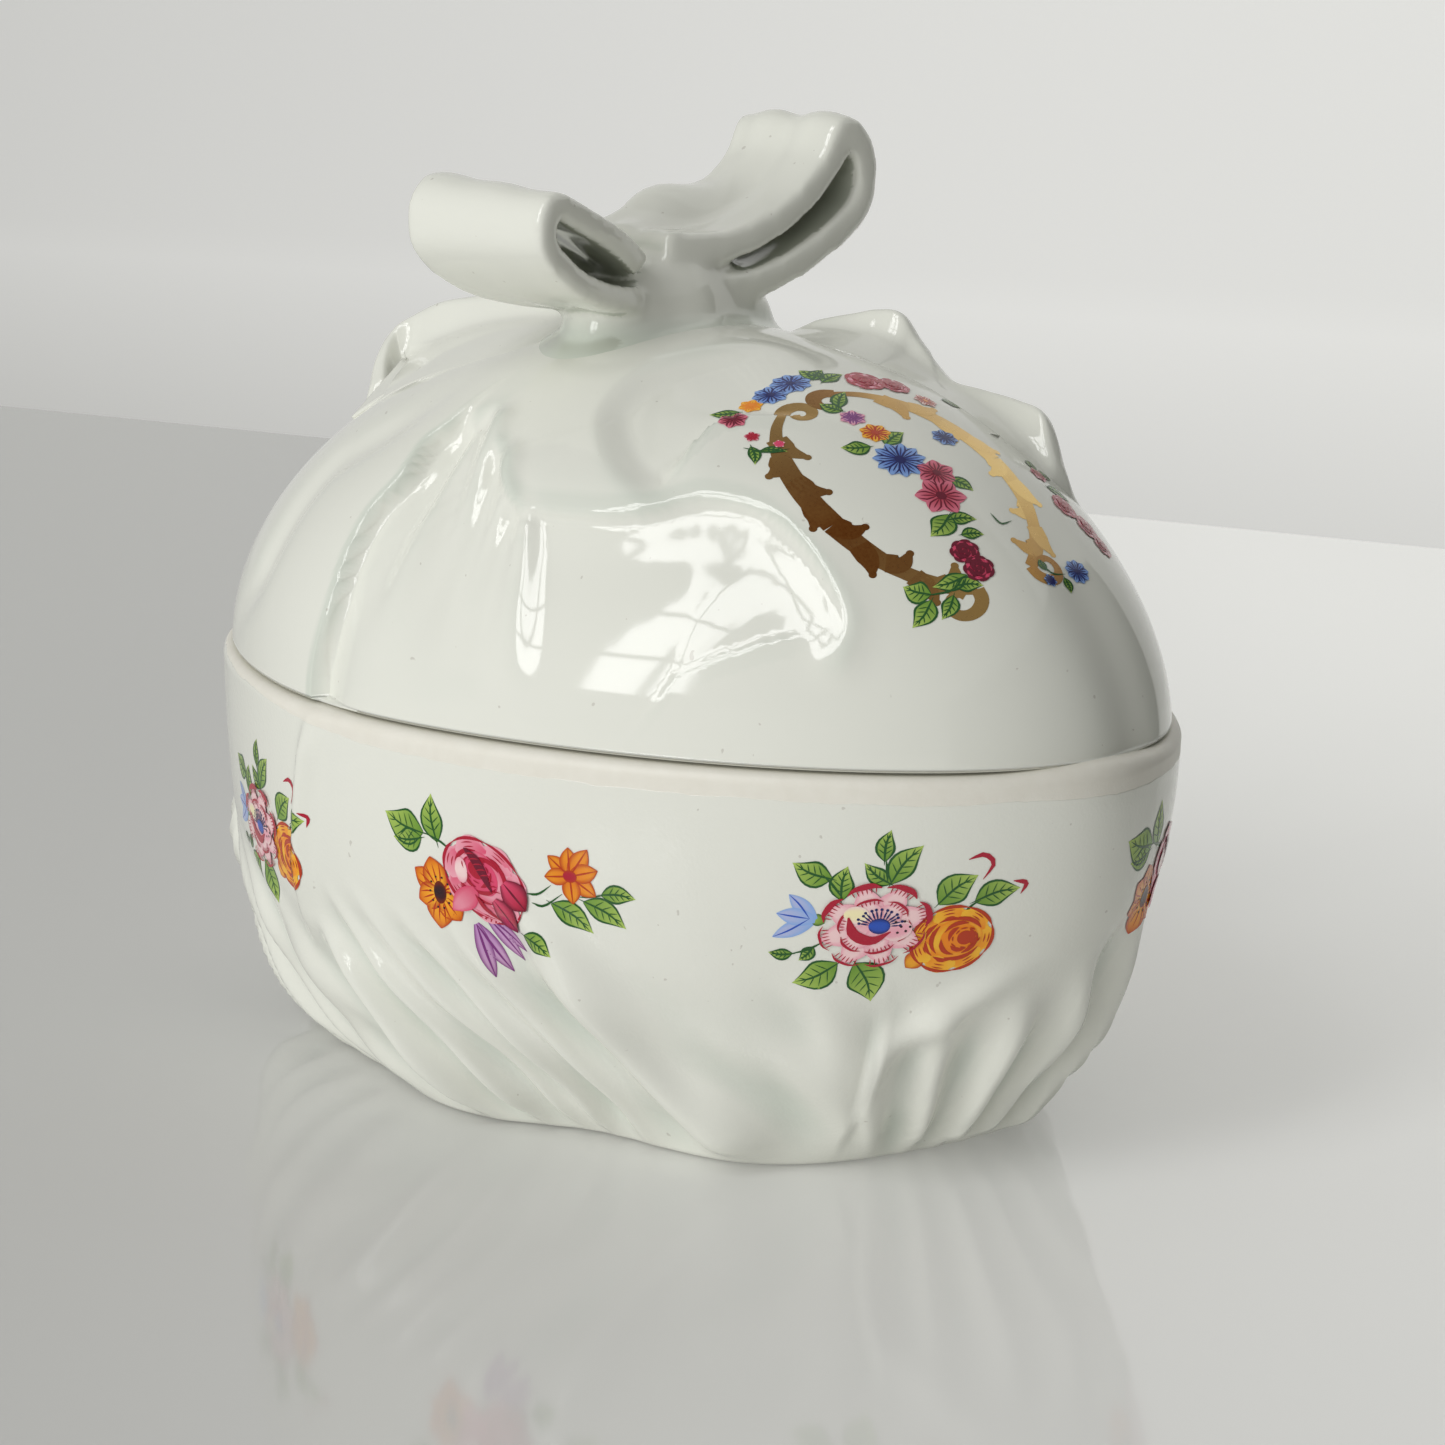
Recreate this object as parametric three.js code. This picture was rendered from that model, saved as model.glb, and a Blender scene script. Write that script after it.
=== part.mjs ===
// A porcelain trinket box shaped like an egg lying on its side and wrapped in cloth.
// The lid lifts off and carries a ribbon bow: two loops on a knot, with a tail on each side.
// Millimetres, +Z up. The origin is under the middle of the box, on the surface it stands on.
// +X points at the narrow end of the egg, and the loops of the bow point along -Y and +Y.

import * as THREE from 'three';

// Driving dimensions of the body
const LENGTH = 130;            // along X
const WIDTH = 92;              // along Y
const BLUNTNESS = 12;          // how far the widest place lies behind the middle
const BOWL_HEIGHT = 47.8;      // from the foot to the seat of the lid
const DOME_RISE = 38.9;        // from the seam to the crown of the lid
const WALL = 3.6;
const FLOOR_HEIGHT = 5;        // top of the floor inside the bowl
const FOOT_RING = 6;           // width of the ring that the box stands on
const FOOT_RECESS = 1.2;       // depth of the hollow inside that ring
const RIM_CHAMFER = 1.3;       // bare band around the top of the bowl
const CLEARANCE = 0.3;         // gap kept between pieces that touch
const LID_INSET = 1.2;         // the lid is this much smaller than the bowl all round
const FLANGE_DEPTH = 3;        // the lid's locating flange reaches this far into the bowl
const FLANGE_THICKNESS = 2.2;
const FLANGE_PLAY = 0.8;       // side play of the flange in the bowl
const FLOOR_CORNER = 8;        // width of the slope between the floor and the inner wall
const DOME_POWER = 1.8;        // 2 would make the dome an ellipse; less makes it more pointed
const BELLY_FRONT = 2.4;       // how sharply the wall turns in to the foot at the narrow end
const BELLY_BACK = 3.2;        // and at the blunt end

// Where the cloth lies flat against the egg at the seam: direction and spread in degrees,
// and depth as a share of the radius
const FACETS = [[-138, 26, 0.065], [138, 26, 0.035], [24, 20, 0.035]];

// The hollows low on the bowl at the narrow end: direction, spread, depth in millimetres
const HOLLOWS = [[24, 22, 3.6], [-28, 22, 1.3]];
const HOLLOW_HEIGHT = 20;
const HOLLOW_SPREAD = 13;

// The foot is gathered in to a share of the egg outline, with shallow waves round it
const FOOT_SHARE = 0.675;
const FOOT_WAVES = 6;
const FOOT_WAVE_DEPTH = 0.033;
const FOOT_WAVE_START = 97;    // degrees
const FOOT_BLUNT_SHARE = 0.085; // gathered in less at the blunt end

// Driving dimensions of the bow
const BOW_X = -6;              // middle of the ribbon's width
const RIBBON_THICKNESS = 2.7;
const PINCH = 0.62;            // width of the ribbon at the knot, as a share of its full width
const LEFT_LOOP_WIDTH = 19;
const RIGHT_LOOP_WIDTH = 16;
const KNOT_HALF_X = 8.5;
const KNOT_HALF_Y = 14;
const KNOT_WAIST = 87.9;       // height where the knot is pinched
const KNOT_TOP = 88.8;
const TAIL_THICKNESS = 2.2;

// Fineness of the surfaces
const AROUND = 72;
const WALL_ROWS = 9;
const DOME_ROWS = 11;
const LOOP_STEPS = 44;
const TAIL_STEPS = 14;

const TAU = 2 * Math.PI;
const radians = (degrees) => degrees * Math.PI / 180;
const mix = (from, to, share) => from + (to - from) * share;

// A bump of height 1 at the angle `centre`, which fades over `width` degrees to each side
function bump(angle, centre, width) {
  const away = Math.atan2(Math.sin(angle - radians(centre)), Math.cos(angle - radians(centre)));
  return Math.exp(-((away / radians(width)) ** 2));
}

// Radius of the plain egg outline in the direction `angle`, found by halving an interval
function eggRadius(angle) {
  const halfLength = LENGTH / 2;
  const halfWidth = WIDTH / 2;
  let low = 0;
  let high = halfLength * 1.01;
  for (let step = 0; step < 40; step += 1) {
    const radius = (low + high) / 2;
    const x = radius * Math.cos(angle);
    const y = radius * Math.sin(angle);
    const reach = halfLength ** 2 + BLUNTNESS ** 2 + 2 * BLUNTNESS * x;
    const edge = halfWidth ** 2 * (halfLength ** 2 - x ** 2) / reach;
    const outside = Math.abs(x) >= halfLength || y ** 2 > edge;
    if (outside) {
      high = radius;
    } else {
      low = radius;
    }
  }
  return low;
}

// Outline at the seam: the cloth lies flatter behind its two side pleats than in front of them
function rimRadius(angle) {
  const depths = FACETS.map(([centre, width, depth]) => depth * bump(angle, centre, width));
  return eggRadius(angle) * (1 - depths[0] - depths[1] - depths[2]);
}

// Outline at the foot
function footRadius(angle) {
  const waves = FOOT_WAVE_DEPTH * Math.cos(FOOT_WAVES * (angle + radians(FOOT_WAVE_START)));
  const blunt = FOOT_BLUNT_SHARE * ((1 - Math.cos(angle)) / 2) ** 3;
  return eggRadius(angle) * (FOOT_SHARE + waves + blunt);
}

// How far the cloth sinks in low on the narrow end
function hollow(angle, height) {
  const fade = Math.exp(-(((height - HOLLOW_HEIGHT) / HOLLOW_SPREAD) ** 2));
  const depths = HOLLOWS.map(([centre, width, depth]) => depth * bump(angle, centre, width));
  return fade * (depths[0] + depths[1]);
}

// Outer radius of the bowl at a height, straighter towards the narrow end
function bowlRadius(angle, height) {
  const share = Math.min(height / BOWL_HEIGHT, 1);
  const fullness = mix(BELLY_FRONT, BELLY_BACK, (1 - Math.cos(angle)) / 2);
  const rim = rimRadius(angle);
  return rim - (rim - footRadius(angle)) * (1 - share) ** fullness - hollow(angle, height);
}

function lidRadius(angle) {
  return rimRadius(angle) - LID_INSET;
}

// Height of the outside of the lid above a place in plan
function domeHeight(x, y) {
  const angle = Math.atan2(y, x);
  const share = Math.min(Math.hypot(x, y) / lidRadius(angle), 1);
  return BOWL_HEIGHT + CLEARANCE + DOME_RISE * (1 - share ** 2) ** (1 / DOME_POWER);
}

// Radius of the dome, `inset` inside its skin, at a share of its rise
function domeRadius(angle, share, inset) {
  return (lidRadius(angle) - inset) * Math.sqrt(1 - share ** DOME_POWER);
}

// One closed turn of points, given by a radius and a height for each direction
function ring(radiusAt, heightAt) {
  const points = [];
  for (let step = 0; step < AROUND; step += 1) {
    const angle = TAU * step / AROUND;
    const radius = radiusAt(angle);
    points.push([radius * Math.cos(angle), radius * Math.sin(angle), heightAt(angle, radius)]);
  }
  return points;
}

// Closed body from rings of equally many points; the two ends are closed by fans
function loft(rings, firstCentre, lastCentre) {
  const count = rings[0].length;
  const positions = [...rings.flat(2), ...firstCentre, ...lastCentre];
  const first = rings.length * count;
  const last = first + 1;
  const triangles = [];
  for (let row = 0; row < rings.length - 1; row += 1) {
    for (let step = 0; step < count; step += 1) {
      const next = (step + 1) % count;
      const a = row * count + step;
      const b = row * count + next;
      triangles.push(a, b, b + count);
      triangles.push(a, b + count, a + count);
    }
  }
  const top = (rings.length - 1) * count;
  for (let step = 0; step < count; step += 1) {
    const next = (step + 1) % count;
    triangles.push(first, next, step);
    triangles.push(last, top + step, top + next);
  }
  const geometry = new THREE.BufferGeometry();
  geometry.setAttribute('position', new THREE.Float32BufferAttribute(positions, 3));
  geometry.setIndex(triangles);
  return geometry;
}

const level = (height) => () => height;

// The bowl: recessed base, foot ring, bellied wall, bare rim with a flat seat, smooth inside
function bowlGeometry() {
  const base = (share) => ring((angle) => share * (footRadius(angle) - FOOT_RING), level(FOOT_RECESS));
  const wallRow = (height) => ring((angle) => bowlRadius(angle, height), level(height));
  const seat = (inset, height) => ring((angle) => rimRadius(angle) - inset, level(height));
  const inside = (height) => ring((angle) => bowlRadius(angle, height) - WALL, level(height));
  const insideFloor = (angle) => bowlRadius(angle, FLOOR_HEIGHT) - FLOOR_CORNER;
  const floorRow = (share) => ring((angle) => share * insideFloor(angle), level(FLOOR_HEIGHT));

  const rings = [base(0.5), base(0.96)];
  rings.push(ring((angle) => footRadius(angle) - FOOT_RING, level(0)));
  rings.push(ring((angle) => footRadius(angle) - 0.6, level(0)));
  const wallTop = BOWL_HEIGHT - RIM_CHAMFER;
  for (let row = 0; row <= WALL_ROWS; row += 1) {
    rings.push(wallRow(mix(0.7, wallTop, (row / WALL_ROWS) ** 1.25)));
  }
  rings.push(seat(0.35 * RIM_CHAMFER, BOWL_HEIGHT - 0.4));
  rings.push(seat(RIM_CHAMFER, BOWL_HEIGHT));
  rings.push(seat(WALL, BOWL_HEIGHT));
  for (let row = WALL_ROWS - 1; row >= 0; row -= 1) {
    rings.push(inside(mix(FLOOR_HEIGHT + 3, wallTop, row / WALL_ROWS)));
  }
  rings.push(floorRow(1), floorRow(0.5));
  return loft(rings, [0, 0, FOOT_RECESS], [0, 0, FLOOR_HEIGHT]);
}

// The lid: a dome with a wall, a flat edge that rests on the seat, and a locating flange inside
function lidGeometry() {
  const bottom = BOWL_HEIGHT + CLEARANCE;
  const outerRow = (share) => ring((angle) => domeRadius(angle, share, 0), level(bottom + DOME_RISE * share));
  const innerRise = DOME_RISE - WALL;
  const innerRow = (share) => ring((angle) => domeRadius(angle, share, WALL),
    level(bottom + innerRise * share));
  const flangeOuter = (angle) => rimRadius(angle) - WALL - FLANGE_PLAY;
  const flangeInner = (angle) => flangeOuter(angle) - FLANGE_THICKNESS;
  const shares = [];
  for (let row = 0; row <= DOME_ROWS; row += 1) {
    shares.push(Math.sin(Math.PI / 2 * row / (DOME_ROWS + 1)));
  }

  const rings = [];
  for (const share of shares) {
    rings.push(innerRow(share * 0.995 + 0.03 * (1 - share)));
  }
  rings.reverse();
  rings.push(ring(flangeInner, level(bottom - FLANGE_DEPTH)));
  rings.push(ring(flangeOuter, level(bottom - FLANGE_DEPTH)));
  rings.push(ring(flangeOuter, level(bottom)));
  for (const share of shares) {
    rings.push(outerRow(share));
  }
  return loft(rings, [0, 0, bottom + innerRise], [0, 0, bottom + DOME_RISE]);
}

// A loop of ribbon: a closed line in the YZ plane, thickened and given a width along X
// that narrows towards the knot, where the line starts and ends
function loopGeometry(guidePoints, width) {
  const guide = new THREE.CatmullRomCurve3(
    guidePoints.map(([y, z]) => new THREE.Vector3(BOW_X, y, z)), true, 'centripetal');
  const positions = [];
  const triangles = [];
  for (let step = 0; step < LOOP_STEPS; step += 1) {
    const share = step / LOOP_STEPS;
    const place = guide.getPointAt(share);
    const along = guide.getTangentAt(share);
    const gather = mix(PINCH, 1, Math.sin(Math.PI * share) ** 0.7);
    const half = width / 2 * gather;
    const up = new THREE.Vector3(0, along.z, -along.y).multiplyScalar(RIBBON_THICKNESS / 2);
    for (const [side, skin] of [[-1, 1], [1, 1], [1, -1], [-1, -1]]) {
      positions.push(place.x + side * half, place.y + skin * up.y, place.z + skin * up.z);
    }
    const next = (step + 1) % LOOP_STEPS;
    for (let corner = 0; corner < 4; corner += 1) {
      const other = (corner + 1) % 4;
      const [a, b, c, d] = [step * 4 + corner, step * 4 + other, next * 4 + other, next * 4 + corner];
      triangles.push(a, c, b, a, d, c);
    }
  }
  const geometry = new THREE.BufferGeometry();
  geometry.setAttribute('position', new THREE.Float32BufferAttribute(positions, 3));
  geometry.setIndex(triangles);
  return geometry;
}

// The knot: a low waisted pedestal whose underside follows the crown of the lid
function knotGeometry() {
  const outline = (share) => (angle) => share
    / Math.hypot(Math.cos(angle) / KNOT_HALF_X, Math.sin(angle) / KNOT_HALF_Y);
  const onDome = (angle, radius) => CLEARANCE
    + domeHeight(BOW_X + radius * Math.cos(angle), radius * Math.sin(angle));
  const rings = [ring(outline(0.5), onDome), ring(outline(1), onDome)];
  rings.push(ring(outline(0.84), level(KNOT_WAIST)));
  rings.push(ring(outline(0.78), level(KNOT_TOP)));
  rings.push(ring(outline(0.4), level(KNOT_TOP)));
  const underCentre = [0, 0, domeHeight(BOW_X, 0) + CLEARANCE];
  const geometry = loft(rings, underCentre, [0, 0, KNOT_TOP]);
  geometry.translate(BOW_X, 0, 0);
  return geometry;
}

// A ribbon tail: an upright strip that stands on the dome along a route, with its own top line
function tailGeometry(routePoints) {
  const route = new THREE.CatmullRomCurve3(
    routePoints.map(([x, y, rise]) => new THREE.Vector3(x, y, rise)));
  const rings = [];
  for (let step = 0; step <= TAIL_STEPS; step += 1) {
    const place = route.getPoint(step / TAIL_STEPS);
    const along = route.getTangent(step / TAIL_STEPS);
    const side = new THREE.Vector2(-along.y, along.x).setLength(TAIL_THICKNESS / 2);
    const left = [place.x + side.x, place.y + side.y];
    const right = [place.x - side.x, place.y - side.y];
    const foot = (spot) => domeHeight(...spot) + CLEARANCE;
    const top = domeHeight(place.x, place.y) + CLEARANCE + place.z;
    rings.push([[...left, foot(left)], [...left, top], [...right, top], [...right, foot(right)]]);
  }
  const mean = (corners, axis) => corners.reduce((sum, corner) => sum + corner[axis] / corners.length, 0);
  const middle = (corners) => [0, 1, 2].map((axis) => mean(corners, axis));
  return loft(rings, middle(rings[0]), middle(rings[TAIL_STEPS]));
}

// Middle line of each loop's ribbon as [y, z], from the knot out along the underside and back
const LEFT_LOOP = [[-9.5, 90.6], [-15, 91.4], [-21, 93.6], [-25.6, 97.6], [-24.6, 101.4], [-19.5, 99.6],
  [-13.5, 97], [-9.6, 94.2]];
const RIGHT_LOOP = [[-2.5, 91.2], [5, 90.4], [12, 91.2], [20, 94.4], [26.4, 99], [26.4, 104.6], [23.2, 107.6],
  [20.6, 103.4], [14.5, 98.3], [6, 95.2], [-2, 95.4]];

// Routes of the two tails as [x, y, rise above the dome]
const LEFT_TAIL = [[-17, -4, 2.2], [-25, -3.5, 4.4], [-34, -3, 6.6], [-40, -3.5, 8], [-44, -5, 8.7],
  [-46.2, -7.2, 8.5]];
const RIGHT_TAIL = [[6, 11, 1.5], [11, 13, 3], [18, 15.3, 6], [25, 15.6, 2], [35, 15.2, 5], [39, 14.8, 6],
  [42, 13.4, 2.5]];

const glazedPorcelain = () => new THREE.MeshStandardMaterial(
  { color: 0xe3e5de, roughness: 0.08, metalness: 0 });

const box = new THREE.Group();

function addPiece(name, geometry) {
  const piece = new THREE.Mesh(geometry, glazedPorcelain());
  piece.name = name;
  box.add(piece);
}

addPiece('bowl', bowlGeometry());
addPiece('lid_shell', lidGeometry());
addPiece('bow_knot', knotGeometry());
addPiece('bow_loop_left', loopGeometry(LEFT_LOOP, LEFT_LOOP_WIDTH));
addPiece('bow_loop_right', loopGeometry(RIGHT_LOOP, RIGHT_LOOP_WIDTH));
addPiece('ribbon_tail_left', tailGeometry(LEFT_TAIL));
addPiece('ribbon_tail_right', tailGeometry(RIGHT_TAIL));

export default box;
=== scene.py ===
# %% [markdown]
# # A porcelain trinket box tied with a bow
# The box is an egg lying on its side, wrapped in cloth, all of it glazed porcelain. The packed
# model gives the true sizes and what moves. This notebook makes the surfaces that the eye sees:
# the folds of the cloth, the bow, the painted flowers, the gilding and the glaze.

# %% Load the frame
import bpy
import math
import numpy as np
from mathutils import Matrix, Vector
from mathutils.bvhtree import BVHTree


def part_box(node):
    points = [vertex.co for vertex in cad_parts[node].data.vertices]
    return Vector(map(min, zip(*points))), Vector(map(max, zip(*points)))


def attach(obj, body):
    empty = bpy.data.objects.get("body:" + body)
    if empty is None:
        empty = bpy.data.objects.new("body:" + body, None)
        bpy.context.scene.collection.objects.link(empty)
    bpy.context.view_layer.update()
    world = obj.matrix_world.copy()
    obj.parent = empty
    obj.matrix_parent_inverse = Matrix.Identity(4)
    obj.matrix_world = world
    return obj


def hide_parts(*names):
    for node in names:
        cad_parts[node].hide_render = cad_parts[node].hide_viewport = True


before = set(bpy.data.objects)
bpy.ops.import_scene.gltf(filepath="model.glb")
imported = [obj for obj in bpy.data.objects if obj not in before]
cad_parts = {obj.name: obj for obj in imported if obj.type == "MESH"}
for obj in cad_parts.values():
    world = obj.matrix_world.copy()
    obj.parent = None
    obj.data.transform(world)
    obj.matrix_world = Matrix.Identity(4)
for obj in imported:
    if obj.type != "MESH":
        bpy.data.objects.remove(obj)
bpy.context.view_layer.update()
MM = 0.001

# %% [markdown]
# ## Where the viewer stands
# The camera looks at the middle of the box from the front right, a little from above, with a
# moderately long lens, so the box keeps its proportions and its far side still shows.

# %% Camera
AIM = Vector((2.6, 2.0, 40.5)) * MM
AZIMUTH = math.radians(43.83)
PITCH = math.radians(14)
DISTANCE = 0.368


def camera():
    bpy.ops.object.select_all(action="DESELECT")
    look = Vector((-math.sin(AZIMUTH) * math.cos(PITCH), math.cos(AZIMUTH) * math.cos(PITCH),
                   -math.sin(PITCH)))
    bpy.ops.object.camera_add(location=AIM - DISTANCE * look)
    eye = bpy.context.object
    eye.name = "viewpoint"
    eye.rotation_euler = look.to_track_quat("-Z", "Y").to_euler()
    eye.data.sensor_width = 36
    eye.data.lens = 78.85
    eye.data.clip_start = 0.01
    bpy.context.scene.camera = eye
    print("camera", [round(v, 3) for v in eye.location])


camera()

# %% [markdown]
# ## Shader maths as plain sums
# A material is a small calculation. Wrapping a shader socket in a Python class lets the
# calculation be written as an expression, and each operator adds the node that it stands for.

# %% Shader helper
class Value:
    """A number worked out over a surface: its operators add Math nodes."""

    def __init__(self, recipe, socket):
        self.recipe = recipe
        self.socket = socket

    def maths(self, operation, *others):
        sockets = {number: other for number, other in enumerate((self,) + others)}
        return self.recipe.node("ShaderNodeMath", {"operation": operation}, sockets)

    def flipped(self, operation, other):
        return self.recipe.node("ShaderNodeMath", {"operation": operation}, {0: other, 1: self})

    def __add__(self, other):
        return self.maths("ADD", other)

    def __sub__(self, other):
        return self.maths("SUBTRACT", other)

    def __mul__(self, other):
        return self.maths("MULTIPLY", other)

    def __rsub__(self, other):
        return self.flipped("SUBTRACT", other)

    __radd__ = __add__
    __rmul__ = __mul__


print("operators ready on", Value.__name__)

# %% [markdown]
# ## One method for every other node
# Noise, attributes, mixes and bumps are nodes with settings and sockets of many kinds. One method
# adds any of them, and the short ones after it only give it the names that this box needs.

# %% Material helper
class Recipe:
    """One material with its Principled shader, and the one method that adds any other node."""

    def __init__(self, name):
        self.material = bpy.data.materials.new(name)
        self.material.use_nodes = True
        self.nodes = self.material.node_tree.nodes
        self.links = self.material.node_tree.links
        self.shader = self.nodes["Principled BSDF"]

    def node(self, kind, settings, inputs, output=0):
        made = self.nodes.new(kind)
        for name, setting in settings.items():
            setattr(made, name, setting)
        for name, given in inputs.items():
            self.feed(made.inputs[name], given)
        return Value(self, made.outputs[output])

    def feed(self, socket, given):
        if isinstance(given, Value):
            self.links.new(given.socket, socket)
        else:
            socket.default_value = given

    def finish(self, **sockets):
        for name, given in sockets.items():
            self.feed(self.shader.inputs[name.replace("_", " ")], given)
        return self.material

    def place(self):
        return self.node("ShaderNodeTexCoord", {}, {}, "Object")

    def noise(self, scale, detail=2.0, roughness=0.5):
        inputs = {"Vector": self.place(), "Scale": scale, "Detail": detail, "Roughness": roughness}
        return self.node("ShaderNodeTexNoise", {}, inputs)

    def attribute(self, name, output="Fac"):
        return self.node("ShaderNodeAttribute", {"attribute_name": name}, {}, output)

    def between(self, value, low, high):
        return self.node("ShaderNodeMapRange", {"interpolation_type": "SMOOTHSTEP"},
                         {"Value": value, "From Min": low, "From Max": high})

    def blend(self, share, first, second, way="MIX"):
        return self.node("ShaderNodeMix", {"data_type": "RGBA", "blend_type": way},
                         {0: share, 6: first, 7: second}, 2)

    def bump(self, height, distance, strength=1.0, normal=None):
        inputs = {"Height": height, "Distance": distance, "Strength": strength}
        if normal is not None:
            inputs["Normal"] = normal
        return self.node("ShaderNodeBump", {}, inputs)


print("material helper ready:", Recipe.__name__)

# %% [markdown]
# ## The egg outline
# All the shapes start from one outline, seen from above: an egg with a blunt end and a narrow
# end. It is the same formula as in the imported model, so every piece fits the frame.

# %% Outline of the box
bowl_low, bowl_high = (np.array(corner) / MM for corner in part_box("bowl"))
lid_low, lid_high = (np.array(corner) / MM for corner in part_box("lid_shell"))
HALF_LENGTH = 65.0
HALF_WIDTH = 46.0
BLUNTNESS = 12.0
SEAT = float(bowl_high[2])
FLANGE_DEPTH = 3.0
LID_EDGE = float(lid_low[2]) + FLANGE_DEPTH
CROWN = float(lid_high[2])
RISE = CROWN - LID_EDGE
WALL = 3.6
LID_INSET = 1.2
DOME_POWER = 1.8
RIM_FACETS = ((-138, 26, 0.065), (138, 26, 0.035), (24, 20, 0.035))
FOOT_SHARE = 0.675
FOOT_WAVES = 6
WAVE_DEPTH = 0.033
WAVE_START = 97
BLUNT_SHARE = 0.085
FULLNESS_FRONT = 2.4
FULLNESS_BACK = 3.2
HOLLOWS = ((24, 22, 3.6), (-28, 22, 1.3))
HOLLOW_HEIGHT = 20
HOLLOW_SPREAD = 13
print("seat", round(SEAT, 2), "lid edge", round(LID_EDGE, 2), "crown", round(CROWN, 2))

# %% [markdown]
# ## Radius in every direction
# The egg has no simple formula for its radius, so it is found by halving an interval until it
# closes on the edge. The rim is the egg with slightly flattened facets, the foot is a smaller,
# wavy egg, and the wall between them bellies out. Two hollows are pressed into the wall.

# %% Radius of the walls
def away_from(angle, degrees):
    turn = angle - math.radians(degrees)
    return np.arctan2(np.sin(turn), np.cos(turn))


def swell(angle, degrees, width):
    return np.exp(-(away_from(angle, degrees) / math.radians(width)) ** 2)


def smooth(value, low, high):
    share = np.clip((value - low) / (high - low), 0, 1)
    return share * share * (3 - 2 * share)


def egg_radius(angle):
    low = np.zeros_like(angle)
    high = np.full_like(angle, HALF_LENGTH * 1.01)
    for _ in range(40):
        radius = (low + high) / 2
        x = radius * np.cos(angle)
        y = radius * np.sin(angle)
        reach = HALF_LENGTH ** 2 + BLUNTNESS ** 2 + 2 * BLUNTNESS * x
        edge = HALF_WIDTH ** 2 * (HALF_LENGTH ** 2 - x ** 2) / reach
        outside = (np.abs(x) >= HALF_LENGTH) | (y ** 2 > edge)
        high = np.where(outside, radius, high)
        low = np.where(outside, low, radius)
    return low


def rim_radius(angle):
    facets = sum(depth * swell(angle, direction, width) for direction, width, depth in RIM_FACETS)
    return egg_radius(angle) * (1 - facets)


def foot_radius(angle):
    waves = WAVE_DEPTH * np.cos(FOOT_WAVES * (angle + math.radians(WAVE_START)))
    blunt = BLUNT_SHARE * ((1 - np.cos(angle)) / 2) ** 3
    return egg_radius(angle) * (FOOT_SHARE + waves + blunt)


def bowl_radius(angle, height):
    share = np.clip(height / SEAT, 0, 1)
    fullness = FULLNESS_FRONT + (FULLNESS_BACK - FULLNESS_FRONT) * (1 - np.cos(angle)) / 2
    rim = rim_radius(angle)
    pressed = sum(depth * swell(angle, direction, width) for direction, width, depth in HOLLOWS)
    hollow = pressed * np.exp(-((height - HOLLOW_HEIGHT) / HOLLOW_SPREAD) ** 2)
    return rim - (rim - foot_radius(angle)) * (1 - share) ** fullness - hollow


print("rim at the narrow end", rim_radius(np.zeros(1)).round(2), "foot", foot_radius(np.zeros(1)).round(2))

# %% [markdown]
# ## A hollow shell from a sphere
# A sphere has one pole on top and one below. If its lower pole is the middle of the outside and
# its upper pole the middle of the inside, the rings between can run up the outer wall, over the
# rim and down the inner wall. That gives a closed, walled cup with clean rows of faces, which
# matters on a mirror-like glaze: every uneven face would show.

# %% Shell helper
DENSE_SIDE = -75.0
DENSENESS = 0.42


def shell(name, segments, rows):
    """rows: functions of the direction that give radius and height, from outside to inside."""
    bpy.ops.object.select_all(action="DESELECT")
    rings = len(rows) - 1
    bpy.ops.mesh.primitive_uv_sphere_add(segments=segments, ring_count=rings, radius=1)
    piece = bpy.context.object
    piece.name = name
    mesh = piece.data
    points = np.empty(len(mesh.vertices) * 3)
    mesh.vertices.foreach_get("co", points)
    points = points.reshape(-1, 3)
    polar = np.arccos(np.clip(-points[:, 2], -1, 1))
    row_of = np.rint(polar / math.pi * rings).astype(int)
    turn = np.arctan2(points[:, 1], points[:, 0])
    column_of = np.rint(turn / (2 * math.pi) * segments).astype(int) % segments
    angle = 2 * math.pi * np.arange(segments) / segments
    angle = angle - DENSENESS * np.sin(angle - math.radians(DENSE_SIDE))
    grid = np.empty((rings + 1, segments, 3))
    for number, row in enumerate(rows):
        radius, height = row(angle)
        grid[number, :, 0] = radius * np.cos(angle)
        grid[number, :, 1] = radius * np.sin(angle)
        grid[number, :, 2] = height
    return piece, grid, row_of, column_of, angle


def grid_normals(grid):
    along = np.gradient(grid, axis=0)
    around = np.roll(grid, -1, axis=1) - np.roll(grid, 1, axis=1)
    normal = np.cross(around, along)
    length = np.linalg.norm(normal, axis=2, keepdims=True)
    return normal / np.maximum(length, 1e-9)


def settle(piece, grid, row_of, column_of):
    """Writes the grid into the mesh, in metres, and shades it smooth."""
    points = grid[row_of, column_of] * MM
    piece.data.vertices.foreach_set("co", points.ravel())
    piece.data.update()
    bpy.context.view_layer.objects.active = piece
    piece.select_set(True)
    bpy.ops.object.mode_set(mode="EDIT")
    bpy.ops.mesh.select_all(action="SELECT")
    bpy.ops.mesh.normals_make_consistent(inside=False)
    bpy.ops.object.mode_set(mode="OBJECT")
    bpy.ops.object.shade_smooth()


def paint_value(piece, name, values):
    layer = piece.data.attributes.new(name, "FLOAT", "POINT")
    layer.data.foreach_set("value", np.ascontiguousarray(values, dtype=np.float32))


print("columns are closest together towards", DENSE_SIDE, "degrees")

# %% [markdown]
# ## The folds of the bowl
# The cloth is drawn up around the egg. Its upper half is stretched smooth, and below, slanting
# folds gather towards the foot. They are worked out by formula: a slanted angle makes the folds
# lean, a rounded wave gives soft ridges with tighter valleys, and a mask fades them in.

# %% Bowl folds
FOLD_SPACING = 11.5
FOLD_HEIGHT = 1.7
FOLD_LEAN = 1.15
FINE_LEAN = 1.7
MID_FOLD = 15


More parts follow.
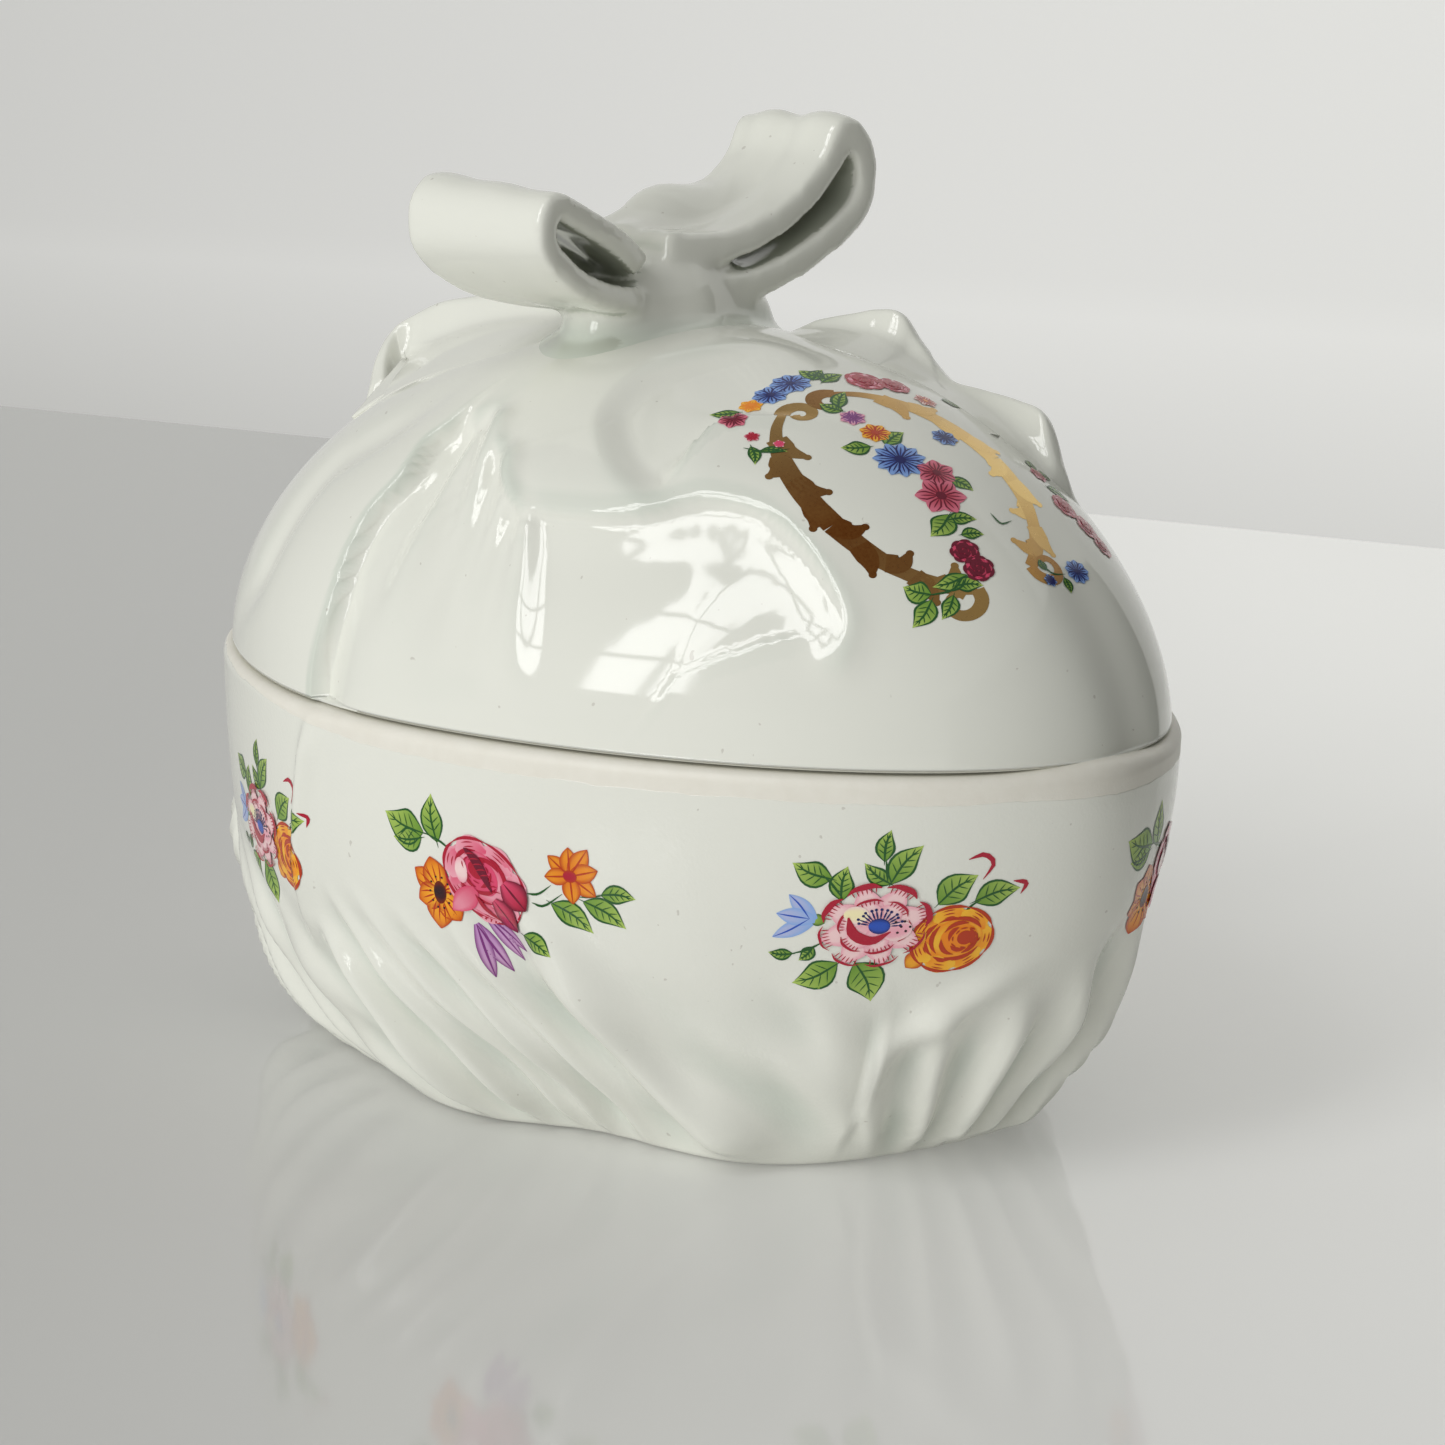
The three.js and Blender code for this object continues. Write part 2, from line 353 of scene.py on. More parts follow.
def waviness(degrees, times, start=0.0):
    """A sine wave of a direction given in degrees."""
    return np.sin(np.radians(times * degrees + start))


def slanting_folds(angle, height):
    """Big leaning folds, small wrinkles between them, and patches where they cross."""
    degrees = np.degrees(angle)
    lean = degrees - FOLD_LEAN * np.sin(angle) * (height - MID_FOLD)
    drift = 0.6 * waviness(lean, 5, 40) + 0.3 * waviness(lean, 3) + 0.12 * np.sin(height / 4 + 3 * angle)
    phase = lean / FOLD_SPACING + drift
    strength = 0.75 + 0.45 * waviness(lean, 7, 100) + 0.2 * waviness(lean, 13)
    off_ridge = (phase + 0.5) % 1 - 0.5
    wave = 0.55 * np.exp(-(off_ridge / 0.17) ** 2) + 0.6 * np.cos(2 * math.pi * phase) - 0.05
    reach = 25 + 4 * waviness(degrees, 4, 30) + 2.5 * waviness(lean, 11)
    fade = smooth(height, reach + 5, reach - 9) * smooth(height, -2, 6)
    patches = waviness(15 * lean + 10 * height, 1) * waviness(7 * degrees - 12 * height, 1, 50)
    fine_lean = degrees - FINE_LEAN * np.sin(angle) * (height - MID_FOLD)
    fine = waviness(fine_lean, 29) * waviness(lean, 9) ** 2 * smooth(height, 4, 12)
    return (FOLD_HEIGHT * strength * wave + 0.6 * patches + 0.3 * fine) * fade


print("about", round(360 / FOLD_SPACING), "folds round the bowl")

# %% [markdown]
# ## Creases of the wrapped cloth
# Near the blunt end the cloth is wrapped over itself, which leaves one long crease on each side.
# A soft keel runs down the narrow end, and a short crumpled crease crosses the folds beside it.

# %% Bowl creases
CREASE_AT_SEAT = -107.5
CREASE_SLOPE = 0.31


def wrapped_crease(height):
    """Direction of the crease at a height, in degrees."""
    return CREASE_AT_SEAT - CREASE_SLOPE * (SEAT - height)


def creases(angle, height):
    relief = 0
    span = smooth(height, 14, 30) * smooth(height, SEAT + 1, SEAT - 6)
    for side, tall in ((1, 1.1), (-1, 0.88)):
        off = np.degrees(away_from(angle, 0)) * side - wrapped_crease(height)
        off = ((off + 180) % 360 - 180) * 0.82
        width = np.where(off > 0, 2.2, 1.0)
        relief = relief + tall * np.exp(-(off / width) ** 2) * span
    return relief


def bowl_relief(angle, height):
    """How far the cloth stands out from the plain wall, in millimetres."""
    keel = 0.7 * np.exp(-(away_from(angle, -5) * 60 / 7) ** 2) * smooth(height, 6, 20)
    crossing = np.degrees(angle) + 12 + 0.95 * (27 - height)
    crumple = 1.3 * np.exp(-(crossing / 3) ** 2) * smooth(height, 6, 11) * smooth(height, 29, 23)
    return slanting_folds(angle, height) + creases(angle, height) + keel + crumple


print("crease at the seat", wrapped_crease(SEAT), "and at the foot", round(wrapped_crease(0), 1))

# %% [markdown]
# ## The rows of the bowl
# The shell needs a list of level rows: out across the underside, round the foot, up the outer
# wall, over the rounded rim, down the inner wall and in across the floor. Only the rows of the
# outer wall lie close together, because only they carry folds.

# %% Rows of the bowl
def bare_line(angle):
    """Height above which the rim of the bowl has no glaze."""
    return SEAT - 0.5 - 2.2 * smooth(np.cos(angle - math.radians(-20)), -0.6, 0.5)


def bowl_rows():
    rows = []
    for share in (0, 0.25, 0.5, 0.75, 0.93, 1):
        rows.append(lambda angle, s=share: (s * (foot_radius(angle) - 6.6), np.full_like(angle, 1.2)))
    rows.append(lambda angle: (foot_radius(angle) - 6.0, np.full_like(angle, 0.5)))
    for inset, height in ((5.6, 0.12), (4.6, 0.0), (3.0, 0.0), (1.4, 0.0), (0.7, 0.05), (0.25, 0.25)):
        rows.append(lambda angle, i=inset, h=height: (foot_radius(angle) - i, np.full_like(angle, h)))
    first_outer = len(rows)
    wall_top = SEAT - 1.3
    for share in np.linspace(0, 1, 118):
        height = 0.6 + (wall_top - 0.6) * share
        rows.append(lambda angle, h=height: (bowl_radius(angle, h), np.full_like(angle, h)))
    last_outer = len(rows)
    for turn in np.linspace(0.12, 1, 8):
        inset = 1.3 * (1 - math.cos(turn * math.pi / 2))
        height = wall_top + 1.3 * math.sin(turn * math.pi / 2)
        rows.append(lambda angle, i=inset, h=height: (rim_radius(angle) - i, np.full_like(angle, h)))
    for inset in (1.9, 2.6, 3.2):
        rows.append(lambda angle, i=inset: (rim_radius(angle) - i, np.full_like(angle, SEAT)))
    rows.append(lambda angle: (rim_radius(angle) - 3.52, np.full_like(angle, SEAT - 0.12)))
    for share in np.linspace(1, 0, 24):
        height = 7.5 + (SEAT - 0.5 - 7.5) * share
        rows.append(lambda angle, h=height: (bowl_radius(angle, h) - WALL, np.full_like(angle, h)))
    for share in (0.94, 0.86, 0.75, 0.5, 0.25, 0):
        lift = 5 + 2.5 * smooth(np.float64(share), 0.7, 1.0)
        rows.append(lambda angle, s=share, h=lift: (s * (bowl_radius(angle, 7.5) - WALL),
                                                    np.full_like(angle, h)))
    return rows, first_outer, last_outer


print("rows of the bowl", len(bowl_rows()[0]))

# %% [markdown]
# ## The bowl itself
# The rows become a grid of points, the folds push the outer ones along their normals, and the
# grid is written back into the sphere. Two values are kept on the points for the glaze: how deep
# a point lies in a valley, and how far it is above the line where the glaze ends.

# %% Bowl shell
def make_bowl():
    rows, first_outer, last_outer = bowl_rows()
    piece, grid, row_of, column_of, angle = shell("bowl_wrapped", 400, rows)
    normal = grid_normals(grid)
    height = grid[:, :, 2]
    relief = bowl_relief(np.broadcast_to(angle, height.shape), height)
    number = np.arange(len(rows))[:, None]
    start = smooth(number, first_outer - 6, first_outer + 4)
    end = smooth(number, last_outer + 12, last_outer + 8)
    relief = relief * start * end
    move = normal * relief[:, :, None]
    move[:, :, 2] *= smooth(height, 0.2, 5)
    outer = (number >= first_outer - 6) & (number < last_outer + 13)
    grid = grid + np.where(outer[:, :, None], move, 0)
    grid[:, :, 2] = np.maximum(grid[:, :, 2], 0)
    settle(piece, grid, row_of, column_of)
    pool = np.clip(-relief, 0, 1.2) / 1.2
    paint_value(piece, "pool", pool[row_of, column_of])
    bare = np.where(number > last_outer + 11, -1.0, height - bare_line(angle))
    paint_value(piece, "bare", bare[row_of, column_of])
    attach(piece, "bowl")
    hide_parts("bowl")
    print("bowl", len(piece.data.polygons), "faces")
    return piece


bowl = make_bowl()

# %% [markdown]
# ## The drapes of the lid
# On the lid the cloth is drawn together under the bow. To place its pleats, the dome is thought
# of as unrolled: a place is given by how far it lies from the crown along the surface, and in
# which direction. Each feature is a curve of a few points on that flat plan, and the height of
# the cloth beside it is a function of the distance from the curve.

# %% Curves on the unrolled dome
def spline(points, steps=72):
    """Points of a smooth curve through the given ones."""
    given = np.array(points, dtype=float)
    padded = np.vstack([2 * given[0] - given[1], given, 2 * given[-1] - given[-2]])
    out = []
    for place in np.linspace(0, len(given) - 1, steps):
        first = min(int(place), len(given) - 2)
        t = place - first
        a, b, c, d = padded[first:first + 4]
        out.append(0.5 * (2 * b + (c - a) * t + (2 * a - 5 * b + 4 * c - d) * t * t
                          + (3 * b - a - 3 * c + d) * t ** 3))
    return np.array(out)


print("a curve through three points has", len(spline([(0, 0), (1, 1), (2, 0)])), "steps")

# %% [markdown]
# ## Distance from a curve
# A pleat or a crease is a height that depends on the distance from its curve. The curve is cut
# into short straight pieces, and for every point of the dome the nearest piece is kept, with the
# side that the point lies on, and how far along the curve it is.

# %% Distance from a curve
def beside(p, q, points):
    """Signed distance from a curve, positive to the left of its direction, and the share along it."""
    line = spline(points, 40)
    nearest = np.full(p.shape, 1e9)
    signed = np.zeros(p.shape)
    along = np.zeros(p.shape)
    for number in range(len(line) - 1):
        start = line[number]
        step = line[number + 1] - start
        length = math.hypot(*step)
        share = np.clip(((p - start[0]) * step[0] + (q - start[1]) * step[1]) / length ** 2, 0, 1)
        dx = p - start[0] - share * step[0]
        dy = q - start[1] - share * step[1]
        distance = np.hypot(dx, dy)
        closer = distance < nearest
        side = np.sign(step[0] * dy - step[1] * dx)
        nearest = np.where(closer, distance, nearest)
        signed = np.where(closer, distance * side, signed)
        along = np.where(closer, (number + share) / (len(line) - 1), along)
    return signed, along


print("one step to the left of a line is", beside(np.zeros(1), np.ones(1), [(-5, 0), (0, 0), (5, 0)])[0])

# %% [markdown]
# ## Where the drapes lie
# The front drape ends in a lip, and the smooth panel for the painting has an edge of its own.
# Two creases run back from the bow, four pleats fan out under it, and a soft keel runs to the
# narrow end. Only the near half is listed: the far half repeats it more faintly.

# %% Curves of the drapes
LIP = [(-4.5, -25.5), (-1.5, -29.5), (1.5, -33), (6, -36), (9.5, -36.5), (17, -34), (22, -31),
       (26.5, -26), (32.5, -23), (38, -23), (43.5, -24), (48, -25.5), (51, -28.5), (54.5, -32)]
PANEL_EDGE = [(15, 2), (11.5, -3), (9, -8), (7, -15), (7.5, -21), (10, -24.5), (15.5, -28),
              (21.5, -29), (27, -26.5)]
SIDE_CREASE = [(-22, -63), (-17.5, -51.5), (-16.5, -45.5), (-15, -39.5), (-12.5, -35), (-12, -30),
               (-10.5, -27), (-8, -19)]
BACK_CREASE = [(-61.5, -42.5), (-45, -42), (-39, -38.5), (-34.5, -33), (-30.5, -29), (-27, -28),
               (-20, -25), (-13, -17)]
PLEATS = [[(-7, -24), (-5, -34), (-3, -45), (-1, -60.5)],
          [(-9, -24.5), (-9.5, -35.5), (-10, -45.5), (-9.5, -61)],
          [(-1, -29.5), (2, -39.5), (3.5, -51), (5, -60.5)],
          [(6, -36), (7.5, -43), (9.5, -51.5), (10.5, -58.5)]]
KEEL = [(38, -1), (51, 0), (65, -0.5), (80, 0)]
print("pleats", len(PLEATS), "points on the lip", len(LIP))

# %% [markdown]
# ## Height of the drapes
# Beside the lip the cloth swells outside and is scooped inside. The pleats are rounded ridges
# that widen and fade on their way down, each with a shallow valley beside it.

# %% Relief of the lid
def ridge(distance, width):
    return np.exp(-(distance / width) ** 2)


def half_relief(p, q, drape):
    """Height of the cloth on the side q < 0, with the share that the front drape has."""
    d, t = beside(p, q, LIP)
    reach = smooth(t, 0.0, 0.22) * smooth(t, 1.0, 0.6)
    outside = np.clip(-d, 0, None)
    inside = np.clip(d, 0, None)
    bulge = 1.5 * np.exp(-(outside / 13) ** 2) * (1 - 0.45 * np.exp(-(outside / 4) ** 2))
    scoop = 0.9 * np.exp(-(inside / 9) ** 2) * (1 - 0.55 * np.exp(-(inside / 3) ** 2))
    height = drape * reach * (bulge * smooth(-d, -0.4, 0.6) - scoop * smooth(d, -0.4, 0.8))
    height = height - drape * 0.55 * ridge(d, 2.4) * smooth(t, 0.5, 0.75) * smooth(t, 1.0, 0.9)
    d, t = beside(p, q, PANEL_EDGE)
    height = height + drape * 1.3 * smooth(d, -1.2, 3.4) * np.exp(-(np.clip(d, 0, None) / 16) ** 2) \
        * smooth(t, 0.02, 0.3) * smooth(t, 1.0, 0.8)
    d, t = beside(p, q, SIDE_CREASE)
    front = np.exp(-(np.clip(-d, 0, None) / 6.5) ** 2)
    back = smooth(d, 0.6, -0.1)
    tall = 1.9 * smooth(t, 1.0, 0.75)
    height = height + tall * np.where(d > 0, back, front)
    d, t = beside(p, q, BACK_CREASE)
    height = height + 1.1 * ridge(d, 3.4) * smooth(t, 0, 0.25) * smooth(t, 1.0, 0.8)
    for number, pleat in enumerate(PLEATS):
        d, t = beside(p, q, pleat)
        width = 1.3 + 3.2 * t
        start = smooth(t, 0.0, 0.12)
        height = height + (1.6 - 0.15 * number) * ridge(d, width) * start * smooth(t, 1.0, 0.55)
        height = height - 0.8 * ridge(d - 1.7 * width, width) * start * smooth(t, 1.0, 0.4)
    return height


def lid_relief(p, q):
    front = half_relief(p, q, 1.0)
    back = half_relief(p, -q, 0.35)
    relief = np.where(q < 0, front, back)
    seam = smooth(np.abs(q), 0, 5)
    relief = relief * seam + 0.5 * (half_relief(p, -np.abs(q), 0.5)) * (1 - seam)
    d, t = beside(p, q, KEEL)
    return relief + 0.75 * ridge(d, 4.5) * smooth(t, 0, 0.4)


def unrolled(angle, share):
    """Plan of the unrolled dome: share is 0 at the crown and 1 at the edge of the lid."""
    radius = rim_radius(angle) - LID_INSET
    length = math.pi / 2 * np.sqrt((radius ** 2 + RISE ** 2) / 2)
    reach = np.arcsin(np.clip(share, 0, 1)) / (math.pi / 2) * length
    return reach * np.cos(angle), reach * np.sin(angle)


print("relief on the crown", lid_relief(np.zeros(1), np.zeros(1)).round(2))

# %% [markdown]
# ## The rows of the lid
# The lid is a second shell. Its rows run from the crown down the outside, round the thin bottom
# edge, down and round the flange that keeps the lid in place, and up the inside.

# %% Rows of the lid
OUTER_ROWS = 129
INNER_ROWS = 25
FLANGE_PLAY = 0.8


def dome_row(share, inset, rise):
    """A level row of the dome: share is the share of the full width."""
    def row(angle):
        radius = (rim_radius(angle) - LID_INSET - inset) * share
        return radius, np.full_like(angle, LID_EDGE + rise * (1 - share ** 2) ** (1 / DOME_POWER))
    return row


def lid_rows():
    rows = []
    for step in range(OUTER_ROWS):
        share = math.sin(math.pi / 2 * step / OUTER_ROWS)
        rows.append(dome_row(share, 0, RISE))
    last_outer = len(rows)
    for inset, height in ((0.0, 0.35), (0.12, 0.1), (0.4, 0.0), (1.2, 0.0), (2.0, 0.0)):
        rows.append(lambda angle, i=inset, h=height: (rim_radius(angle) - LID_INSET - i,
                                                      np.full_like(angle, LID_EDGE + h)))
    play = WALL + FLANGE_PLAY
    for inset, height in ((0, -0.4), (0, -1.4), (0, -2.5), (0.4, -3), (1.1, -3), (1.8, -3), (2.2, -2.5),
                          (2.2, -1.2), (2.2, 0)):
        rows.append(lambda angle, i=inset, h=height: (rim_radius(angle) - play - i,
                                                      np.full_like(angle, LID_EDGE + h)))
    for step in reversed(range(INNER_ROWS)):
        share = math.sin(math.pi / 2 * step / INNER_ROWS)
        rows.append(dome_row(share, WALL, RISE - WALL))
    return rows, last_outer


print("rows of the lid", len(lid_rows()[0]))

# %% [markdown]
# ## The lid itself
# As on the bowl, the drapes push the outer rows out along their normals. Near the edge they only
# move level, so the lid still sits flat on its bowl.

# %% Lid shell
def make_lid():
    rows, last_outer = lid_rows()
    piece, grid, row_of, column_of, angle = shell("lid_draped", 440, rows)
    normal = grid_normals(grid)
    number = np.arange(len(rows))[:, None]
    share = np.sin(math.pi / 2 * np.clip(number / OUTER_ROWS, 0, 1))
    turn = np.broadcast_to(angle, (len(rows), len(angle)))
    p, q = unrolled(turn, np.broadcast_to(share, turn.shape))
    relief = lid_relief(p, q)
    relief = relief * smooth(number, last_outer + 5, last_outer)
    relief[0] = relief[0].mean()
    normal[0] = (0, 0, 1)
    edge = smooth(number, last_outer - 12, last_outer)
    move = normal * relief[:, :, None]
    move[:, :, 2] *= 1 - edge
    outer = number < last_outer + 6
    grid = grid + np.where(outer[:, :, None], move, 0)
    settle(piece, grid, row_of, column_of)
    beside_it = np.roll(relief, 3, 1) + np.roll(relief, -3, 1)
    above_it = np.roll(relief, 5, 0) + np.roll(relief, -5, 0)
    pool = np.clip((beside_it + above_it) / 4 - relief, 0, 0.5) / 0.6 * outer
    paint_value(piece, "pool", pool[row_of, column_of])
    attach(piece, "lid")
    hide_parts("lid_shell")
    print("lid", len(piece.data.polygons), "faces")
    return piece


lid = make_lid()

# %% [markdown]
# ## The bow
# Each loop is a strip of ribbon bent round on itself, and both stand on a waisted knot. On the
# real lid they are stuck on with slip, so no joint shows: the glaze runs smoothly from one to
# the other. The strips and the knot are made roughly first, then joined and remeshed into one
# skin, and smoothed until the joints look cast.

# %% Guide of each loop
BOW_X = -6.0
LEFT_LOOP = [(-7.5, 89.8), (-15, 91.2), (-21, 93.6), (-25.6, 97.6), (-24.6, 101.4), (-19.5, 99.6),
             (-13.5, 97), (-7.6, 93.8)]
RIGHT_LOOP = [(-3, 90.4), (5, 90.2), (12, 91.2), (20, 94.4), (26.4, 99), (26.4, 104.6), (23.2, 107.6),
              (20.6, 103.4), (14.5, 98.3), (6, 95.2), (-3, 95.4)]
print("loop guides", len(LEFT_LOOP), len(RIGHT_LOOP))

# %% [markdown]
# ## A bent ribbon
# A flat grid is bent along its guide. It is wide in the middle and gathered into crimps at both
# ends, its far side can open a little more than the near one, and Solidify gives it thickness.

# %% Ribbon
def ribbon(name, guide, width, thickness, flare, ripple, lobe, along=120, across=22):
    """A grid bent along the guide, wide in the middle and gathered at both ends, made solid.

    flare opens its far side, ripple waves its upper face, lobe lifts the far corner by the knot.
    """
    bpy.ops.object.select_all(action="DESELECT")
    bpy.ops.mesh.primitive_grid_add(x_subdivisions=along, y_subdivisions=across, size=2)
    piece = bpy.context.object
    piece.name = name
    line = spline(guide, 240)
    step = np.gradient(line, axis=0)
    step /= np.linalg.norm(step, axis=1, keepdims=True)
    for vertex in piece.data.vertices:
        share = (vertex.co.x + 1) / 2
        side = vertex.co.y
        index = share * 239
        low = min(int(index), 238)
        part = index - low
        y, z = line[low] * (1 - part) + line[low + 1] * part
        ty, tz = step[low] * (1 - part) + step[low + 1] * part
        least = 0.56 if side > 0 or share < 0.5 else 0.9
        gather = least + (1 - least) * math.sin(math.pi * share) ** 0.7
        crimp = 0.35 * math.cos(3 * math.pi * side) * (1 - math.sin(math.pi * share) ** 0.5)
        crimp += flare * (1 - side) / 2 * math.sin(math.pi * share)
        crimp -= lobe * math.exp(-((share - 0.88) / 0.08) ** 2 - ((side + 0.8) / 0.55) ** 2)
        crimp += ripple * math.sin(7 * side + 1) * float(smooth(share, 0.52, 0.62)) * (1 - share) * 3
        vertex.co = Vector((BOW_X + side * width / 2 * gather, y - tz * crimp, z + ty * crimp)) * MM
    solid = piece.modifiers.new("thickness", "SOLIDIFY")
    solid.thickness = thickness * MM
    solid.offset = 0
    bpy.ops.object.modifier_apply(modifier="thickness")
    return piece


print("guide of the left loop starts at", LEFT_LOOP[0])

# %% [markdown]
# ## The knot
# A sphere becomes a waisted pedestal: its lower half spreads out along the dome like a skirt,
# and its upper half stays narrow. It is longer across the lid than along it, like the bow.

# %% Knot
KNOT_HALF_X = 8.8
KNOT_HALF_Y = 16.5
KNOT_LEAN = 2
KNOT_SKIRT = 1.7
KNOT_NARROWING = 0.78
KNOT_TALL = 8.2


def dome_height(x, y):
    angle = np.arctan2(y, x)
    share = np.clip(np.hypot(x, y) / (rim_radius(angle) - LID_INSET), 0, 1)
    p, q = unrolled(angle, share)
    return LID_EDGE + RISE * (1 - share ** 2) ** (1 / DOME_POWER) + lid_relief(p, q)


def knot(name):
    """A sphere shaped into a waisted pedestal whose skirt runs out along the dome."""
    bpy.ops.object.select_all(action="DESELECT")
    bpy.ops.mesh.primitive_uv_sphere_add(segments=64, ring_count=40, radius=1)
    piece = bpy.context.object
    piece.name = name
    mesh = piece.data
    points = np.empty(len(mesh.vertices) * 3)
    mesh.vertices.foreach_get("co", points)
    points = points.reshape(-1, 3)
    turn = np.arctan2(points[:, 1], points[:, 0])
    level = (points[:, 2] + 1) / 2
    flare = KNOT_SKIRT - KNOT_NARROWING * smooth(level, 0, 0.5) + 0.04 * np.cos(5 * turn)
    flat = np.hypot(points[:, 0], points[:, 1]) ** 0.5
    half_y = KNOT_HALF_Y + KNOT_LEAN * np.sin(turn)
    outline = 1 / np.hypot(np.cos(turn) / KNOT_HALF_X, np.sin(turn) / half_y)
    reach = outline * flare * flat
    x = BOW_X + reach * np.cos(turn)
    y = reach * np.sin(turn)
    z = dome_height(x, y) - 0.6 + KNOT_TALL * level ** 2.2
    placed = np.stack([x, y, z], 1) * MM
    mesh.vertices.foreach_set("co", placed.ravel())
    mesh.update()
    return piece


print("top of the knot", (dome_height(np.zeros(1), np.zeros(1)) + KNOT_TALL).round(1))

# %% [markdown]
# ## One skin
# Joining the parts, remeshing them in small voxels and smoothing the result closes every joint,
# as slip and glaze do. Rays cast inside the loops then give two values for the glaze colour: where
# the glaze lies thick, which inside the loops is also painted shade, and where painted shade darkens the
# ribbon that hides itself.

# %% Joining the bow
LOOP_MOUTH = 9


def fuse(name, pieces, voxel, rounds):
    """Joins pieces into one skin and smooths the joints like slip under glaze."""
    bpy.ops.object.select_all(action="DESELECT")
    for piece in pieces:
        piece.select_set(True)
    bpy.context.view_layer.objects.active = pieces[0]
    bpy.ops.object.join()
    whole = bpy.context.object
    whole.name = name
    remesh = whole.modifiers.new("skin", "REMESH")
    remesh.mode = "VOXEL"
    remesh.voxel_size = voxel * MM
    bpy.ops.object.modifier_apply(modifier="skin")
    soften = whole.modifiers.new("soften", "SMOOTH")
    soften.factor = 0.5
    soften.iterations = rounds
    bpy.ops.object.modifier_apply(modifier="soften")
    bpy.ops.object.shade_smooth()
    print(name, len(whole.data.polygons), "faces")
    return whole


def glaze_pool_and_painted_shade(piece):
    """How thick the glaze lies at every point, and the painted shade where the ribbon hides itself; inside
    the loops the glaze value is painted shade too.
    """
    depsgraph = bpy.context.evaluated_depsgraph_get()
    tree = BVHTree.FromObject(piece, depsgraph)
    values = []
    shades = []
    for vertex in piece.data.vertices:
        start = vertex.co + vertex.normal * 0.3 * MM
        facing = tree.ray_cast(start, vertex.normal, LOOP_MOUTH * MM)[3]
        hidden = 0 if facing is None else 1 - facing / (LOOP_MOUTH * MM)
        foot = float(smooth(vertex.co.z / MM, 89, 86))
        values.append(max(hidden ** 0.7, foot))
        shades.append(float(smooth(hidden, 0.1, 0.8)))
    return np.array(values), np.array(shades)


def make_bow():
    left = ribbon("loop_left", LEFT_LOOP, width=20.5, thickness=3.0, flare=1.5, ripple=0.1, lobe=0)
    right = ribbon("loop_right", RIGHT_LOOP, width=17.5, thickness=3.5, flare=0.3, ripple=0.35, lobe=4.2)
    parts = [left, right, knot("knot")]
    bow = fuse("bow_loops", parts, 0.45, 26)
    pool, painted_shade_inside = glaze_pool_and_painted_shade(bow)
    # Painted shade: inside the loops the pool value and the inside value darken the glaze where the ribbon
    # hides a point; at the foot of the bow the pool value is thick glaze.
    paint_value(bow, "pool", pool)
    paint_value(bow, "inside", painted_shade_inside)
    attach(bow, "lid")
    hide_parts("bow_knot", "bow_loop_left", "bow_loop_right")
    return bow


bow = make_bow()

# %% [markdown]
# ## The ribbon tails
# The ends of the ribbon stand up from the dome like low walls and melt into it. Each is a strip
# of the dome's own surface, raised along a route: a steep rounded wall with a soft foot whose
# edges dip just under the glaze of the lid.

# %% Ribbon tails
LEFT_TAIL = [(-12, -3, 0.5), (-20, -3, 3.4), (-27, -3, 5.4), (-34, -3, 7.2), (-39, -3.5, 8.6),
             (-43, -4, 9.2), (-45, -6, 9), (-44.5, -8.5, 6.8), (-43, -10.5, 4), (-41, -12.5, 1)]
RIGHT_TAIL = [(5, 9, 0.4), (11, 13, 3.0), (15, 14.6, 5.2), (18, 15.3, 6.0), (20.5, 15.7, 4.0),
              (25, 15.6, 2.0), (30, 15.3, 3.2), (35, 15.2, 5.0), (39, 14.8, 6.0), (41.5, 13.8, 3.0),
              (44, 12.4, 0.2)]
FRONT_SIDE = {"tail_left": 1, "tail_right": -1}


def tail(name, route, half_width, slope, steps=150, across=80):
    """slope: how far the gentle front side of the flap reaches down the dome."""
    bpy.ops.object.select_all(action="DESELECT")
    bpy.ops.mesh.primitive_grid_add(x_subdivisions=steps, y_subdivisions=across, size=2)
    piece = bpy.context.object
    piece.name = name
    mesh = piece.data
    points = np.empty(len(mesh.vertices) * 3)
    mesh.vertices.foreach_get("co", points)
    points = points.reshape(-1, 3)
    share = (points[:, 0] + 1) / 2
    side = np.sign(points[:, 1]) * np.abs(points[:, 1]) ** 1.7 * half_width
    line = spline(route, 300)
    step = np.gradient(line[:, :2], axis=0)
    step /= np.linalg.norm(step, axis=1, keepdims=True)
    index = share * 299
    at = [np.interp(index, np.arange(300), line[:, axis]) for axis in range(3)]
    along = [np.interp(index, np.arange(300), step[:, axis]) for axis in range(2)]
    gentle = np.exp(-(side / (slope * (1.3 - share ** 2))) ** 2)
    front = 0.45 * gentle + 0.55 / (1 + (np.abs(side) / 1.5) ** 4)
    back = 1 / (1 + (np.abs(side) / 1.3) ** 4)
    wall = np.where(side * FRONT_SIDE[name] > 0, front, back)
    ends = smooth(share, 0, 0.06) * smooth(share, 1, 0.93)
    rise = at[2] * wall * ends
    x = at[0] - along[1] * side
    y = at[1] + along[0] * side
    border = np.maximum(np.abs(points[:, 1]), smooth(np.abs(share - 0.5), 0.42, 0.5))
    z = dome_height(x, y) + rise + 0.1 - 0.6 * border ** 6
    mesh.vertices.foreach_set("co", (np.stack([x, y, z], 1) * MM).ravel())
    mesh.update()
    solid = piece.modifiers.new("thickness", "SOLIDIFY")
    solid.thickness = 0.5 * MM
    solid.offset = -1
    bpy.ops.object.modifier_apply(modifier="thickness")
    bpy.ops.object.shade_smooth()
    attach(piece, "lid")
    print(name, len(mesh.polygons), "faces")
    return piece


tail_left = tail("tail_left", LEFT_TAIL, 13.0, 8.0)
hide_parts("ribbon_tail_left")
tail_right = tail("tail_right", RIGHT_TAIL, 8.0, 4.0)
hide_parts("ribbon_tail_right")
